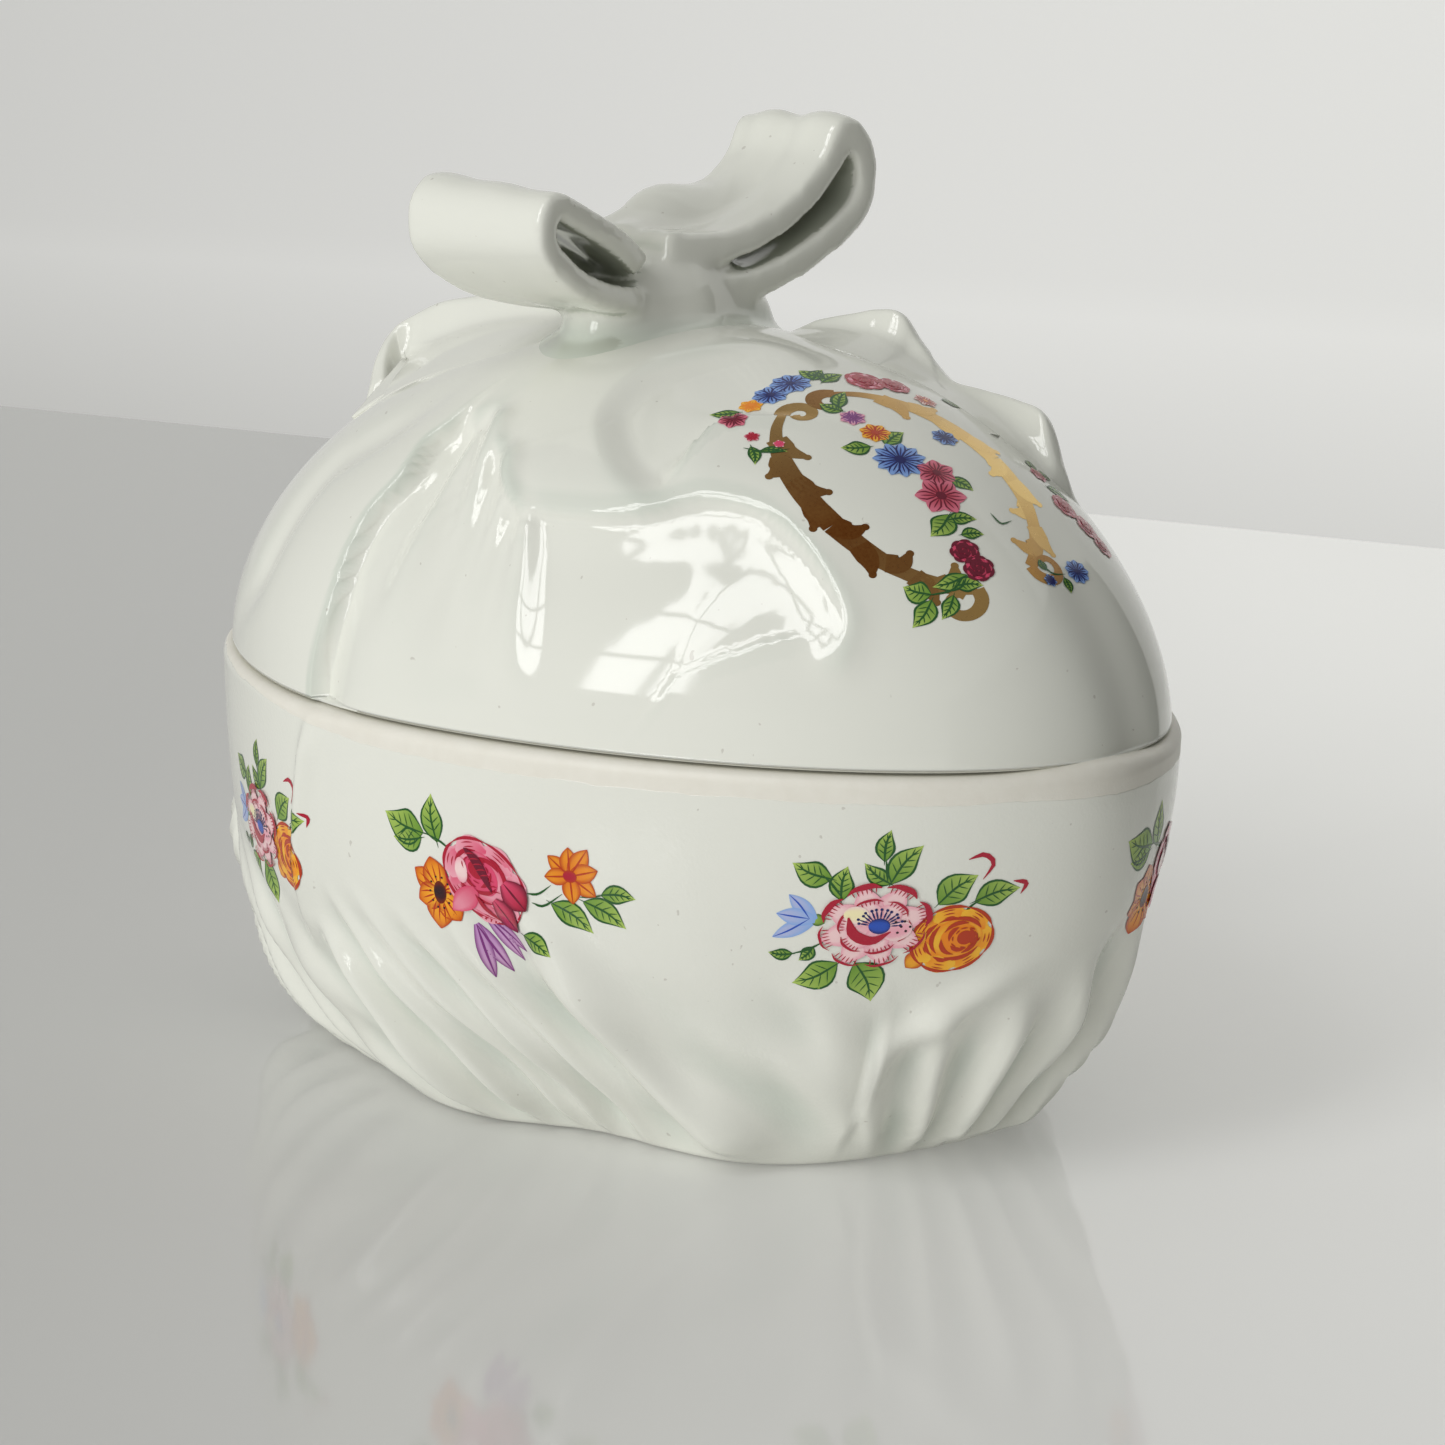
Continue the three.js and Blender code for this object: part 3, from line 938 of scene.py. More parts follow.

# %% [markdown]
# ## Glaze
# Porcelain is white with a breath of green where the clear glaze lies thick, in valleys and under
# edges. On the bow, painted shade darkens the colour to olive inside the loops. The glaze is like glass:
# very smooth, but never quite flat, which makes the window's reflection waver. The bare rim of the bowl is
# matt and slightly brown.

# %% Porcelain material
def porcelain(name, with_band=False):
    recipe = Recipe(name)
    cloud = recipe.noise(22, 3)
    pool = recipe.attribute("pool")
    white = recipe.blend(cloud, (0.80, 0.81, 0.735, 1), (0.84, 0.845, 0.775, 1))
    # Green where the glaze pools; on the bow this value is partly painted shade inside the loops.
    colour = recipe.blend(pool * 0.5, white, (0.50, 0.58, 0.50, 1))
    # Painted shade: dark olive where the loops of the bow hide a point from the room.
    inside = recipe.attribute("inside") * 0.6
    colour = recipe.blend(inside, colour, (0.27, 0.28, 0.20, 1))
    speck = recipe.between(recipe.noise(900, 1), 0.775, 0.80)
    colour = recipe.blend(speck * 0.35, colour, (0.35, 0.30, 0.25, 1))
    waver = recipe.bump(recipe.noise(160, 1), 0.00006, 0.35)
    rough = 0.05 + 0.04 * recipe.noise(60, 2)
    normal = waver
    if with_band:
        ragged = 0.9 * recipe.noise(110, 3) + 0.3 * recipe.noise(700, 2) - 0.6
        edge = recipe.attribute("bare") + ragged
        bare = recipe.between(edge, 0, 0.12)
        bisque = recipe.blend(recipe.noise(500, 3), (0.80, 0.77, 0.68, 1), (0.87, 0.85, 0.77, 1))
        colour = recipe.blend(bare, colour, bisque)
        rough = rough + bare * 0.35
        grain = recipe.bump(recipe.noise(2500, 2), 0.00004, 0.5, waver)
        normal = recipe.bump(1 - bare, 0.00008, 0.6, grain)
    return recipe.finish(Base_Color=colour, Roughness=rough, Normal=normal, IOR=1.52,
                         Specular_IOR_Level=0.6)


bowl.data.materials.append(porcelain("bowl_glaze", True))
glaze = porcelain("lid_glaze")
for piece in (lid, bow, tail_left, tail_right):
    piece.data.materials.append(glaze)
print("glazes", bowl.data.materials[0].name, glaze.name)

# %% [markdown]
# ## Painting on a curved surface
# The flowers are painted over the glaze. They are drawn flat, in millimetres, as coloured petals,
# leaves and brush lines, and then laid on the shell: each point is dropped on to the surface
# along its normal, and lifted by a few hundredths of a millimetre, as real enamel stands.

# %% Paint colours
def shade(red, green, blue):
    """A paint colour given in the everyday 0 to 255 scale."""
    return np.array([((c / 255 + 0.055) / 1.055) ** 2.4 for c in (red, green, blue)])


CRIMSON = shade(176, 24, 52)
WINE = shade(110, 16, 44)
ROSE = shade(222, 74, 112)
PINK = shade(240, 168, 184)
BLUSH = shade(248, 218, 216)
ORANGE = shade(244, 140, 20)
YELLOW = shade(250, 190, 50)
RUST = shade(186, 56, 16)
SKY = shade(140, 176, 232)
BLUE = shade(44, 86, 190)
NAVY = shade(26, 32, 96)
LILAC = shade(192, 140, 200)
PLUM = shade(128, 56, 128)
GREEN = shade(100, 146, 46)
PALE_GREEN = shade(176, 202, 98)
DARK_GREEN = shade(36, 88, 38)
INK = shade(44, 24, 30)
print("crimson as the shader sees it", CRIMSON.round(3))

# %% [markdown]
# ## Strips of paint
# Everything is drawn from one mark, a strip of changing width along a smooth line. A petal is a
# short wide strip, a leaf is one with veins over it, and a spot is a strip that sweeps across a
# circle. A mark that is painted over another lies a little higher, so the two never mix.

# %% Painter
LEVEL_LIFT = 0.012
BASE_LIFT = 0.03
ACROSS = (-1, -0.5, 0, 0.5, 1)


class Painting:
    """Coloured strips collected flat, then laid on a shell as one thin skin."""

    def __init__(self):
        self.points = []
        self.colours = []
        self.faces = []
        self.lifts = []
        self.level = 0
        self.origin = np.zeros(2)
        self.count = 0

    def strip(self, line, half_widths, start, end, edge=None, along=12):
        """A strip of changing width along a smooth line, its colour running from start to end."""
        path = spline([np.array(point, dtype=float) + self.origin for point in line], along)
        step = np.gradient(path, axis=0)
        step /= np.maximum(np.linalg.norm(step, axis=1, keepdims=True), 1e-9)
        side = np.stack([-step[:, 1], step[:, 0]], 1)
        share = np.linspace(0, 1, along)
        width = np.interp(share, np.linspace(0, 1, len(half_widths)), half_widths)
        first = len(self.points)
        for number in range(along):
            for cross in ACROSS:
                self.points.append(path[number] + side[number] * width[number] * cross)
                colour = start + (end - start) * share[number]
                if edge is not None:
                    colour = colour + (edge - colour) * max(abs(cross) ** 3, share[number] ** 6)
                self.colours.append(colour)
        self.count += 1
        lift = BASE_LIFT + LEVEL_LIFT * self.level + 0.0012 * (self.count % 8)
        self.lifts.extend([lift] * (along * len(ACROSS)))
        for number in range(along - 1):
            for cross in range(4):
                a = first + number * 5 + cross
                self.faces.append((a, a + 5, a + 6, a + 1))

    def line(self, points, width, colour, over=1, along=8):
        """A brush line that thins at both ends."""
        self.level += over
        self.strip(points, [0.15 * width, 0.9 * width, width, 0.7 * width, 0.1 * width], colour, colour,
                   along=along)
        self.level -= over

    def petal(self, base, tip, width, inner, outer, edge=None, bend=0.0):
        """A rounded petal from its base to its tip."""
        base = np.array(base, dtype=float)
        tip = np.array(tip, dtype=float)
        across = np.array([base[1] - tip[1], tip[0] - base[0]])
        middle = (base + tip) / 2 + across * bend
        profile = [0.35, 0.62, 0.84, 0.97, 1.0, 0.93, 0.74, 0.45, 0.05]
        self.strip([base, middle, tip], [width * share for share in profile], inner, outer, edge, 14)

    def leaf(self, base, tip, width, bend=0.08, dark=DARK_GREEN):
        """A pointed leaf with a pale half, a dark outline, a midrib and veins."""
        base = np.array(base, dtype=float)
        tip = np.array(tip, dtype=float)
        run = tip - base
        across = np.array([-run[1], run[0]])
        middle = (base + tip) / 2 + across * bend
        shape = [0.05, 0.5, 0.85, 1.0, 0.97, 0.8, 0.52, 0.24, 0.0]
        self.strip([base, middle, tip], [width * share for share in shape], GREEN, PALE_GREEN, None, 14)
        spine = spline([base, middle, tip], 14)
        step = np.gradient(spine, axis=0)
        step /= np.linalg.norm(step, axis=1, keepdims=True)
        normal = np.stack([-step[:, 1], step[:, 0]], 1)
        reach = np.interp(np.linspace(0, 1, 14), np.linspace(0, 1, 9), shape) * width
        for sign in (1, -1):
            self.line((spine + normal * reach[:, None] * sign)[::2], 0.13, dark, 1, 10)
        self.line([base - run * 0.12, middle, base + run * 0.92], 0.13, dark, 2)
        for place in (3, 5, 7, 9):
            for sign in (1, -1):
                end = spine[place + 2] + normal[place + 2] * reach[place + 2] * 0.8 * sign
                self.line([spine[place], (spine[place] + end) / 2, end], 0.07, dark, 2, 4)

    def spot(self, centre, across, up, inner, outer, turn=0.0, lobes=0, depth=0.0):
        """A round or lobed patch made of a strip that sweeps over it."""
        angles = np.linspace(0, math.pi, 9)
        turn = math.radians(turn)
        line = []
        widths = []
        for angle in angles:
            reach = 1 + depth * math.cos(lobes * angle)
            line.append((centre[0] - across * math.cos(angle) * reach * math.cos(turn),
                         centre[1] - across * math.cos(angle) * reach * math.sin(turn)))
            widths.append(max(up * math.sin(angle) * reach, 0.02))
        self.strip(line, widths, inner, inner, outer, 15)

    def move(self, origin):
        self.origin = np.array(origin, dtype=float)


print("a mark is", len(ACROSS), "points across")

# %% [markdown]
# ## Laying the paint
# Each point of the flat drawing has a start near the shell and a direction. A ray finds the
# surface, and the point stops just above it. Data Transfer then copies the shell's own normals,
# so the thin paint shines exactly like the glaze under it.

# %% Laying paint on a shell
REACH = 6


def lay(painting, name, place, shell_piece, body):
    """Drops the flat painting on to the shell and gives it the shell's own smoothness."""
    depsgraph = bpy.context.evaluated_depsgraph_get()
    tree = BVHTree.FromObject(shell_piece, depsgraph)
    starts, directions = place(np.array(painting.points))
    placed = []
    for start, direction, lift in zip(starts, directions, painting.lifts):
        inward = -Vector(direction)
        hit = tree.ray_cast(Vector(start * MM) - inward * REACH * MM, inward)
        where = hit[0] if hit[0] is not None else Vector(start * MM)
        placed.append(where - inward * lift * MM)
    mesh = bpy.data.meshes.new(name)
    mesh.from_pydata(placed, [], painting.faces)
    colours = np.ones((len(placed), 4), dtype=np.float32)
    colours[:, :3] = np.clip(np.array(painting.colours), 0, 1)
    layer = mesh.color_attributes.new("paint", "FLOAT_COLOR", "POINT")
    layer.data.foreach_set("color", colours.ravel())
    piece = bpy.data.objects.new(name, mesh)
    bpy.context.collection.objects.link(piece)
    bpy.ops.object.select_all(action="DESELECT")
    bpy.context.view_layer.objects.active = piece
    piece.select_set(True)
    bpy.ops.object.shade_smooth()
    even = piece.modifiers.new("even", "DATA_TRANSFER")
    even.object = shell_piece
    even.use_loop_data = True
    even.data_types_loops = {"CUSTOM_NORMAL"}
    even.loop_mapping = "POLYINTERP_NEAREST"
    bpy.ops.object.modifier_apply(modifier="even")
    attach(piece, body)
    print(name, len(mesh.polygons), "faces")
    return piece

# %% [markdown]
# ## A full rose
# Arcs of a turned ellipse serve for every round flower. A rose is a ring of light outer petals
# with dark edges, three cups that shrink towards a heart off its middle, and short strokes.

# %% Rose
def ring_points(centre, across, up, turn, start, end, count=7):
    """Points of an arc of a turned ellipse, angles in degrees."""
    turn = math.radians(turn)
    points = []
    for step in range(count):
        angle = math.radians(start + (end - start) * step / (count - 1))
        x = across * math.cos(angle)
        y = up * math.sin(angle)
        points.append((centre[0] + x * math.cos(turn) - y * math.sin(turn),
                       centre[1] + x * math.sin(turn) + y * math.cos(turn)))
    return points


def rose(paint, centre, across, up, turn, heart, colours):
    """A full rose: a ring of outer petals, inner cups, and a dark heart off its middle."""
    dark, middle, light = colours
    paint.spot(centre, across * 0.92, up * 0.92, middle, light, turn)
    paint.level += 1
    for number in range(7):
        start = 360 / 7 * number + 10
        arc = ring_points(centre, across * 0.78, up * 0.78, turn, start, start + 62, 5)
        widths = [across * share for share in (0.05, 0.2, 0.26, 0.2, 0.05)]
        paint.strip(arc, widths, middle, light, light, 10)
        rim = ring_points(centre, across * 0.99, up * 0.99, turn, start + 2, start + 58, 5)
        paint.line(rim, 0.2, dark, 1, 9)
        foot = ring_points(centre, across * 0.64, up * 0.64, turn, start + 8, start + 56, 4)
        paint.line(foot, 0.2, dark, 1)
        for share in (0.7, 0.8, 0.9):
            stroke = ring_points(centre, across * share, up * share, turn, start + 22, start + 42, 3)
            paint.line(stroke, 0.08, dark, 1, 5)
    paint.level += 2
    towards = np.array(heart) - np.array(centre)
    for number, share in enumerate((0.62, 0.46, 0.32)):
        cup = np.array(centre) + towards * (1 - share)
        paint.spot(cup, across * share, up * share, light if number == 0 else middle, middle, turn)
        paint.level += 1
        for start in (20, 130, 240):
            arc = ring_points(cup, across * share, up * share, turn + 40 * number, start, start + 85, 5)
            paint.line(arc, 0.26, dark, 1, 9)
        paint.level += 1
    paint.spot(heart, across * 0.2, up * 0.22, dark, dark, turn)
    for number in range(9):
        start = 40 * number
        reach = across * (0.26 + 0.05 * (number % 3))
        paint.line(ring_points(heart, reach, up * 0.3, turn, start, start + 30, 3), 0.09, dark, 2, 5)
    paint.level -= 9


print("an arc has", len(ring_points((0, 0), 1, 1, 0, 0, 90)), "points")

# %% [markdown]
# ## Flowers with open petals
# The small flowers are separate petals round a heart. The anemone has two rings of overlapping
# petals, with frilled rims that are darkest at the top, where the petals turn away.

# %% Open flowers
def open_flower(paint, centre, radius, count, inner, outer, vein, heart, squash=1.0, turn=0.0, width=0.42):
    """A flower with separate petals, each with veins, round a small heart."""
    centre = np.array(centre, dtype=float)
    for number in range(count):
        angle = math.radians(turn + 360 / count * number)
        reach = np.array([math.cos(angle), math.sin(angle) * squash])
        base = centre + reach * radius * 0.12
        tip = centre + reach * radius
        paint.petal(base, tip, radius * width, inner, outer, vein * 0.12 + outer * 0.88)
        side = np.array([-reach[1], reach[0]]) * radius * width * 0.55
        for bow_out in (side, -side):
            end = tip * 0.9 + base * 0.1 + bow_out * 0.6
            paint.line([base, (base + tip) / 2 + bow_out, end], 0.1, vein, 1, 5)
        paint.line([base, (base + tip) / 2, tip * 0.75 + base * 0.25], 0.08, vein, 1, 4)
    paint.level += 2
    paint.spot(centre, radius * 0.22, radius * 0.2 * squash, heart, heart)
    paint.level -= 2


def scalloped(paint, centre, across, up, turn, count, colours, fringe):
    """An anemone seen half from the side: overlapping petals with frilled, darker rims."""
    inner, outer, edge = colours
    for ring, (size, lobes) in enumerate(((1.0, count), (0.66, count - 2))):
        for number in range(lobes):
            spread = 360 / lobes
            middle = spread * (number + 0.5 * ring)
            tip = ring_points(centre, across * size, up * size, turn, middle, middle + 1, 2)[0]
            width = 0.62 * math.pi * min(across, up) * size / lobes * 1.35
            paint.petal(centre, tip, width, inner, outer, edge)
            raised = math.sin(math.radians(middle + turn)) > 0.1
            frill = ring_points(centre, across * size, up * size, turn, middle - spread * 0.44,
                                middle + spread * 0.44, 5)
            inwards = np.array(centre) * 0.06
            frill = [np.array(frill[0]) * 0.94 + inwards, *frill[1:4], np.array(frill[4]) * 0.94 + inwards]
            paint.line(frill, 0.34 if raised and ring == 0 else 0.15, fringe, 2, 11)
            for share in (-0.3, -0.18, -0.06, 0.06, 0.18, 0.3):
                place = middle + spread * share
                out = size * 0.97
                ray = ring_points(centre, across * out, up * out, turn, place, place + 1, 2)[0]
                inside = np.array(ray) * 0.84 + np.array(centre) * 0.16
                paint.line([ray, (np.array(ray) + inside) / 2, inside], 0.07, fringe, 2, 4)
        paint.level += 4
    paint.level -= 8


print("flowers:", rose.__name__, open_flower.__name__, scalloped.__name__)

# %% [markdown]
# ## The first spray
# Two different sprays take turns round the bowl. The first has an anemone, a yellow rose and a
# blue bell. All places are in millimetres from the middle of the spray, and what is painted
# later lies higher, as the painter's brush goes from the leaves to the flowers.

# %% First spray
def between(first, second, share=0.5):
    """The point at a share of the way from one point to another."""
    return np.array(first) * (1 - share) + np.array(second) * share


def first_spray(paint):
    paint.level = 0
    for base, tip, width in (((-6, 4.2), (-10, 5.7), 1.4), ((-4.9, 1.8), (-4.5, 5.6), 1.2),
                             ((-0.9, 6.2), (-0.4, 9.6), 0.9), ((-0.1, 3.8), (2.8, 8), 1.3),
                             ((-0.1, 3.8), (-2.9, 6), 0.9), ((4.8, 1.5), (8.4, 4.7), 1.6),
                             ((8.4, 1.7), (12.8, 3.1), 1.4), ((-4.7, -5.4), (-9.3, -8), 1.6),
                             ((-9.5, -4.5), (-12.1, -4.5), 0.6), ((-7.4, -3.6), (-8.8, -5.3), 0.7),
                             ((-2.9, -5.4), (-0.4, -10), 2.0)):
        paint.leaf(base, tip, width)
    for stem in (((-4.8, 2), (-6, 3.6), (-7, 4.6)), ((-0.5, 4), (-0.8, 6.5)),
                 ((-6.4, -3), (-8, -4), (-9.8, -4.6)), ((7, -0.5), (8, 1.2), (9, 1.9))):
        paint.line(stem, 0.14, DARK_GREEN, 1)
    paint.line([(7.3, 6.4), (8.8, 6.9), (9.8, 5.9), (8.9, 4.2)], 0.28, CRIMSON)
    paint.line([(12, 3.9), (13.3, 3.6), (12.9, 2.4)], 0.26, CRIMSON)
    for tip, width in (((-10.2, 2.2), 0.9), ((-11.4, 0), 1.0), ((-11.7, -2.7), 0.9)):
        paint.petal((-7.4, -0.5), tip, width, SKY, SKY * 0.55 + BLUSH * 0.45, SKY)
        paint.line([(-8, -0.4), between((-7.4, -0.5), tip, 0.6), tip], 0.1, BLUE)
    paint.petal((-6.4, -0.6), (-8, -0.4), 0.7, GREEN, PALE_GREEN, DARK_GREEN)
    paint.level = 3
    rose(paint, (6.7, -2.5), 4.2, 3.8, 10, (8, -2.3), (RUST, ORANGE, YELLOW))
    paint.petal((3.9, -4.2), (2.5, -5.8), 1.1, ORANGE, YELLOW, RUST)
    paint.level = 16
    scalloped(paint, (-1.5, -1), 5.6, 4.6, 18, 8, (PINK, shade(252, 232, 226), PINK), CRIMSON)
    paint.level = 24
    paint.spot((-3.4, 0.3), 1.3, 1.0, shade(250, 240, 190), BLUSH)
    paint.spot((0.9, -1.4), 1.5, 1.1, PINK, BLUSH, 20)
    for number in range(13):
        start = 14 * number + 4
        inside = ring_points((-1, -0.9), 1.1, 0.8, 0, start, start + 1, 2)[0]
        outside = ring_points((-1, -0.9), 2.1 + 0.25 * (number % 2), 1.9, 0, start, start + 1, 2)[0]
        paint.line([inside, between(inside, outside), outside], 0.1, NAVY, 1, 4)
        paint.level += 1
        paint.spot(outside, 0.16, 0.16, NAVY, NAVY)
        paint.level -= 1
    paint.level = 26
    paint.spot((-1, -0.9), 1.1, 0.9, BLUE, NAVY)
    paint.line([(-4.2, 0), (-3.5, -1.9), (-1.6, -2.6), (0.2, -1.5)], 0.6, CRIMSON, 1, 12)
    for x, y in ((0.6, -0.4), (1.2, -0.9), (0.9, -1.6), (1.7, -1.4), (1.5, -0.3), (2.1, -0.9)):
        paint.spot((x, y), 0.14, 0.14, INK, INK)


print("halfway", between((0, 0), (2, 4)))

# %% [markdown]
# ## The second spray
# The second spray has a large pink rose, an orange pansy with a dark eye, violet bells and a
# small orange flower on a thin stem.

# %% Second spray
PANSY = (-7.8, -1.5)
SMALL_FLOWER = (8.7, 2.8)


def second_spray(paint):
    paint.level = 0
    for base, tip, width in (((-9.5, 5), (-14.8, 6.5), 2.0), ((-9.8, 4.4), (-13.8, 3.8), 1.3),
                             ((-7.6, 4.2), (-8.2, 9.5), 1.4), ((2.9, -4.6), (6.4, -6.3), 1.2),
                             ((12.2, 1.1), (16.1, 1.1), 1.0), ((10.1, 0.1), (14.9, -2.4), 1.3),
                             ((6.3, -0.6), (11.1, -3.4), 1.3)):
        paint.leaf(base, tip, width)
    for stem in (((3.4, 0.2), (4.8, 0.3), (6.4, 1.5)), ((4.1, -0.7), (5.5, -0.9), (7.7, 0.7)),
                 ((-6, 3.6), (-7.4, 4.4), (-9.5, 5)), ((9.6, 0.6), (11, 0.8), (12.4, 1.1))):
        paint.line(stem, 0.14, DARK_GREEN, 1)
    for base, tips in (((-2.6, -3.6), ((2.7, -6.7), (1.9, -8.1))),
                       ((-3.8, -4.6), ((0.2, -9.7), (-1.7, -10.4)))):
        for tip in tips:
            paint.petal(base, tip, 0.85, LILAC, LILAC * 0.6 + BLUSH * 0.4, PLUM)
            paint.line([base, between(base, tip), tip], 0.14, PLUM, 2)
    paint.level = 3
    for tip, width in (((6.2, 4.8), 1.0), ((8.6, 6), 1.1), ((10.8, 6), 1.1), ((11.9, 3.8), 1.1),
                       ((11.6, 0.9), 1.1), ((8.9, -0.3), 1.1), ((5.7, 2.4), 1.0)):
        paint.petal(SMALL_FLOWER, tip, width, RUST * 0.3 + ORANGE * 0.7, ORANGE * 0.5 + YELLOW * 0.5, RUST)
        paint.line([SMALL_FLOWER, between(SMALL_FLOWER, tip), tip], 0.11, RUST, 1)
    paint.level = 5
    paint.spot(SMALL_FLOWER, 0.8, 0.7, CRIMSON, RUST)
    paint.level = 4
    for tip, width in (((-8.8, 2.4), 1.7), ((-11, 0.8), 1.5), ((-10.9, -2.8), 1.6), ((-8.4, -5.8), 1.9),
                       ((-5.4, -4.4), 1.6), ((-5.6, -0.4), 1.5)):
        paint.petal(PANSY, tip, width, YELLOW, ORANGE, RUST)
        reach = np.array(tip) - np.array(PANSY)
        for share in (-0.225, 0, 0.225):
            across = np.array([-reach[1], reach[0]]) * share
            vein = [np.array(PANSY) + reach * far + across * wide
                    for far, wide in ((0.25, 0.4), (0.5, 0.8), (0.8, 1))]
            paint.line(vein, 0.1, RUST, 1, 5)
    paint.level = 7
    paint.spot(PANSY, 0.8, 1.3, INK, RUST * 0.4)
    for number in range(10):
        dot = ring_points(PANSY, 1.3, 1.8, 0, 36 * number, 36 * number + 1, 2)[0]
        paint.spot(dot, 0.13, 0.13, INK, INK)
    paint.level = 8
    rose(paint, (-1.8, 0.6), 5.6, 4.3, -38, (-2.6, 1.9), (CRIMSON, ROSE, PINK))
    paint.level = 19
    for base, tip, width in (((0.8, 1), (3.6, -1.6), 1.5), ((-0.6, -1.2), (2.2, -4.4), 1.6)):
        paint.petal(base, tip, width, ROSE, CRIMSON, WINE)
        paint.line([base, between(base, tip), tip], 0.12, WINE, 1)
    paint.petal((-3, -0.4), (-6.2, -3.2), 1.3, ROSE, PINK, ROSE)
    paint.spot((-4.6, 1.6), 0.8, 1.5, BLUSH, PINK, 0)
    paint.level = 21
    paint.line([(-4, 4.2), (-2.6, 3), (-1.6, 1.4), (-0.7, -0.3)], 0.6, WINE, 1, 12)
    paint.line([(-3.2, -1), (-2.2, -2.6), (-0.3, -3.8)], 0.3, CRIMSON, 1, 12)
    for number in range(8):
        start = np.array((-4 + number * 0.45, 3.5 - number * 0.55))
        paint.line([start, start + (0.7, 0.25), start + (1.4, 0.2)], 0.08, CRIMSON, 1, 4)


print("pansy at", PANSY, "small flower at", SMALL_FLOWER)

# %% [markdown]
# ## Sprays round the bowl
# A spray is laid out by its distance along the wall at one height, and by its height. The
# distance is turned back into a direction from the middle, and the paint is dropped inwards.

# %% Painting the bowl
SPRAY_LEVEL = 32.0
SPRAYS = ((-124, 31.5, first_spray), (-73.5, 32, second_spray), (-25, 33, first_spray),
          (11, 33, second_spray), (47, 32, first_spray), (88, 32, second_spray),
          (133, 32, first_spray), (180, 32, second_spray))


def paint_bowl():
    painting = Painting()
    turn = np.linspace(-1.5 * math.pi, 1.5 * math.pi, 6001)
    radius = bowl_radius(turn, np.full_like(turn, SPRAY_LEVEL))
    steps = np.hypot(np.diff(radius * np.cos(turn)), np.diff(radius * np.sin(turn)))
    run = np.concatenate([[0], np.cumsum(steps)])
    for degrees, height, spray in SPRAYS:
        painting.move((np.interp(math.radians(degrees), turn, run), height))
        spray(painting)

    def place(points):
        angle = np.interp(points[:, 0], run, turn)
        outward = np.stack([np.cos(angle), np.sin(angle), np.zeros_like(angle)], 1)
        reach = bowl_radius(angle, points[:, 1])
        starts = outward * reach[:, None]
        starts[:, 2] = points[:, 1]
        return starts, outward

    return lay(painting, "bowl_flowers", place, bowl, "bowl")


bowl_flowers = paint_bowl()

# %% [markdown]
# ## Gilt scrolls on the lid
# Two facing leafy scrolls make an open oval frame on the smooth panel of the lid, in gold with a painted
# reflection, pale on one scroll and brown on the other.
# Each scroll is half an ellipse that ends in a curl at both ends, with small leaves springing
# from it in turn outwards and inwards. Both come from the same loop, on the unrolled dome.

# %% Gilt scrolls
FRAME_MIDDLE = np.array((38.5, -9))
FRAME_LONG = 15.5
FRAME_WIDE = 10.5
# Painted reflection of the gilt: a deep brown where it faces away from the window, and a pale glint where
# it faces it.
GILT_PAINTED_SHADE = shade(116, 58, 12)
GILT_PAINTED_GLINT = shade(236, 206, 138)


def on_frame(degrees, size=1.0):
    """A point of the oval frame, or of a larger or smaller one."""
    angle = math.radians(degrees)
    return FRAME_MIDDLE + np.array((FRAME_LONG * math.cos(angle), FRAME_WIDE * math.sin(angle))) * size


def gilt_painted_reflection(degrees, side):
    """Painted reflection: the scroll turned to the window is painted bright along its middle, the other
    one deep with paler ends.
    """
    middle = math.sin(math.radians(degrees)) ** 2
    share = 0.1 + 0.8 * middle if side > 0 else 0.5 * (1 - middle)
    return GILT_PAINTED_SHADE + (GILT_PAINTED_GLINT - GILT_PAINTED_SHADE) * share


def curl(paint, start, towards, radius, side, tone):
    """A spiral that begins at a point and winds in."""
    start = np.array(start)
    middle = start + towards * radius
    first = math.degrees(math.atan2(*(start - middle)[::-1]))
    line = []
    for step in range(11):
        angle = math.radians(first + side * 34 * step)
        reach = radius * (1 - 0.065 * step)
        line.append(middle + reach * np.array((math.cos(angle), math.sin(angle))))
    paint.strip(line, [0.75, 0.8, 0.65, 0.5, 0.45, 0.55], tone, tone, None, 40)


def gilt_scrolls(paint):
    paint.level = 0
    for side in (1, -1):
        for start, end in ((162, 90), (90, 20)):
            line = [on_frame(side * (start + (end - start) * step / 6)) for step in range(7)]
            widths = [0.4, 0.6, 1.0, 1.15, 1.2] if start > 90 else [1.2, 1.05, 0.8, 0.9, 0.7]
            paint.strip(line, widths, gilt_painted_reflection(start, side), gilt_painted_reflection(end, side), None, 40)
        curl(paint, on_frame(side * 162), np.array((0.5, -0.87 * side)), 1.7, side, gilt_painted_reflection(162, side))
        curl(paint, on_frame(side * 20), np.array((0.2, 0.98 * side)), 2.3, side, gilt_painted_reflection(20, side))
        for number, degrees in enumerate(range(142, 30, -13)):
            root = on_frame(side * degrees)
            middle = on_frame(side * (degrees - 7), 1.07 if number % 2 else 0.93)
            tip = on_frame(side * (degrees - 10), 1.17 if number % 2 else 0.8)
            tone = gilt_painted_reflection(degrees, side)
            paint.strip([root, middle, tip], [1.1, 1.15, 0.8, 0.3], tone, tone, None, 12)
            paint.spot(tip, 0.42, 0.42, tone, tone)


print("frame reaches", on_frame(90), on_frame(-90))

# %% [markdown]
# ## Leaves of the garland
# Small flowers and leaves lie over the frame and run down its middle. A leaf is given by its
# base, its tip and its half width on the unrolled dome, and a stem by three points.

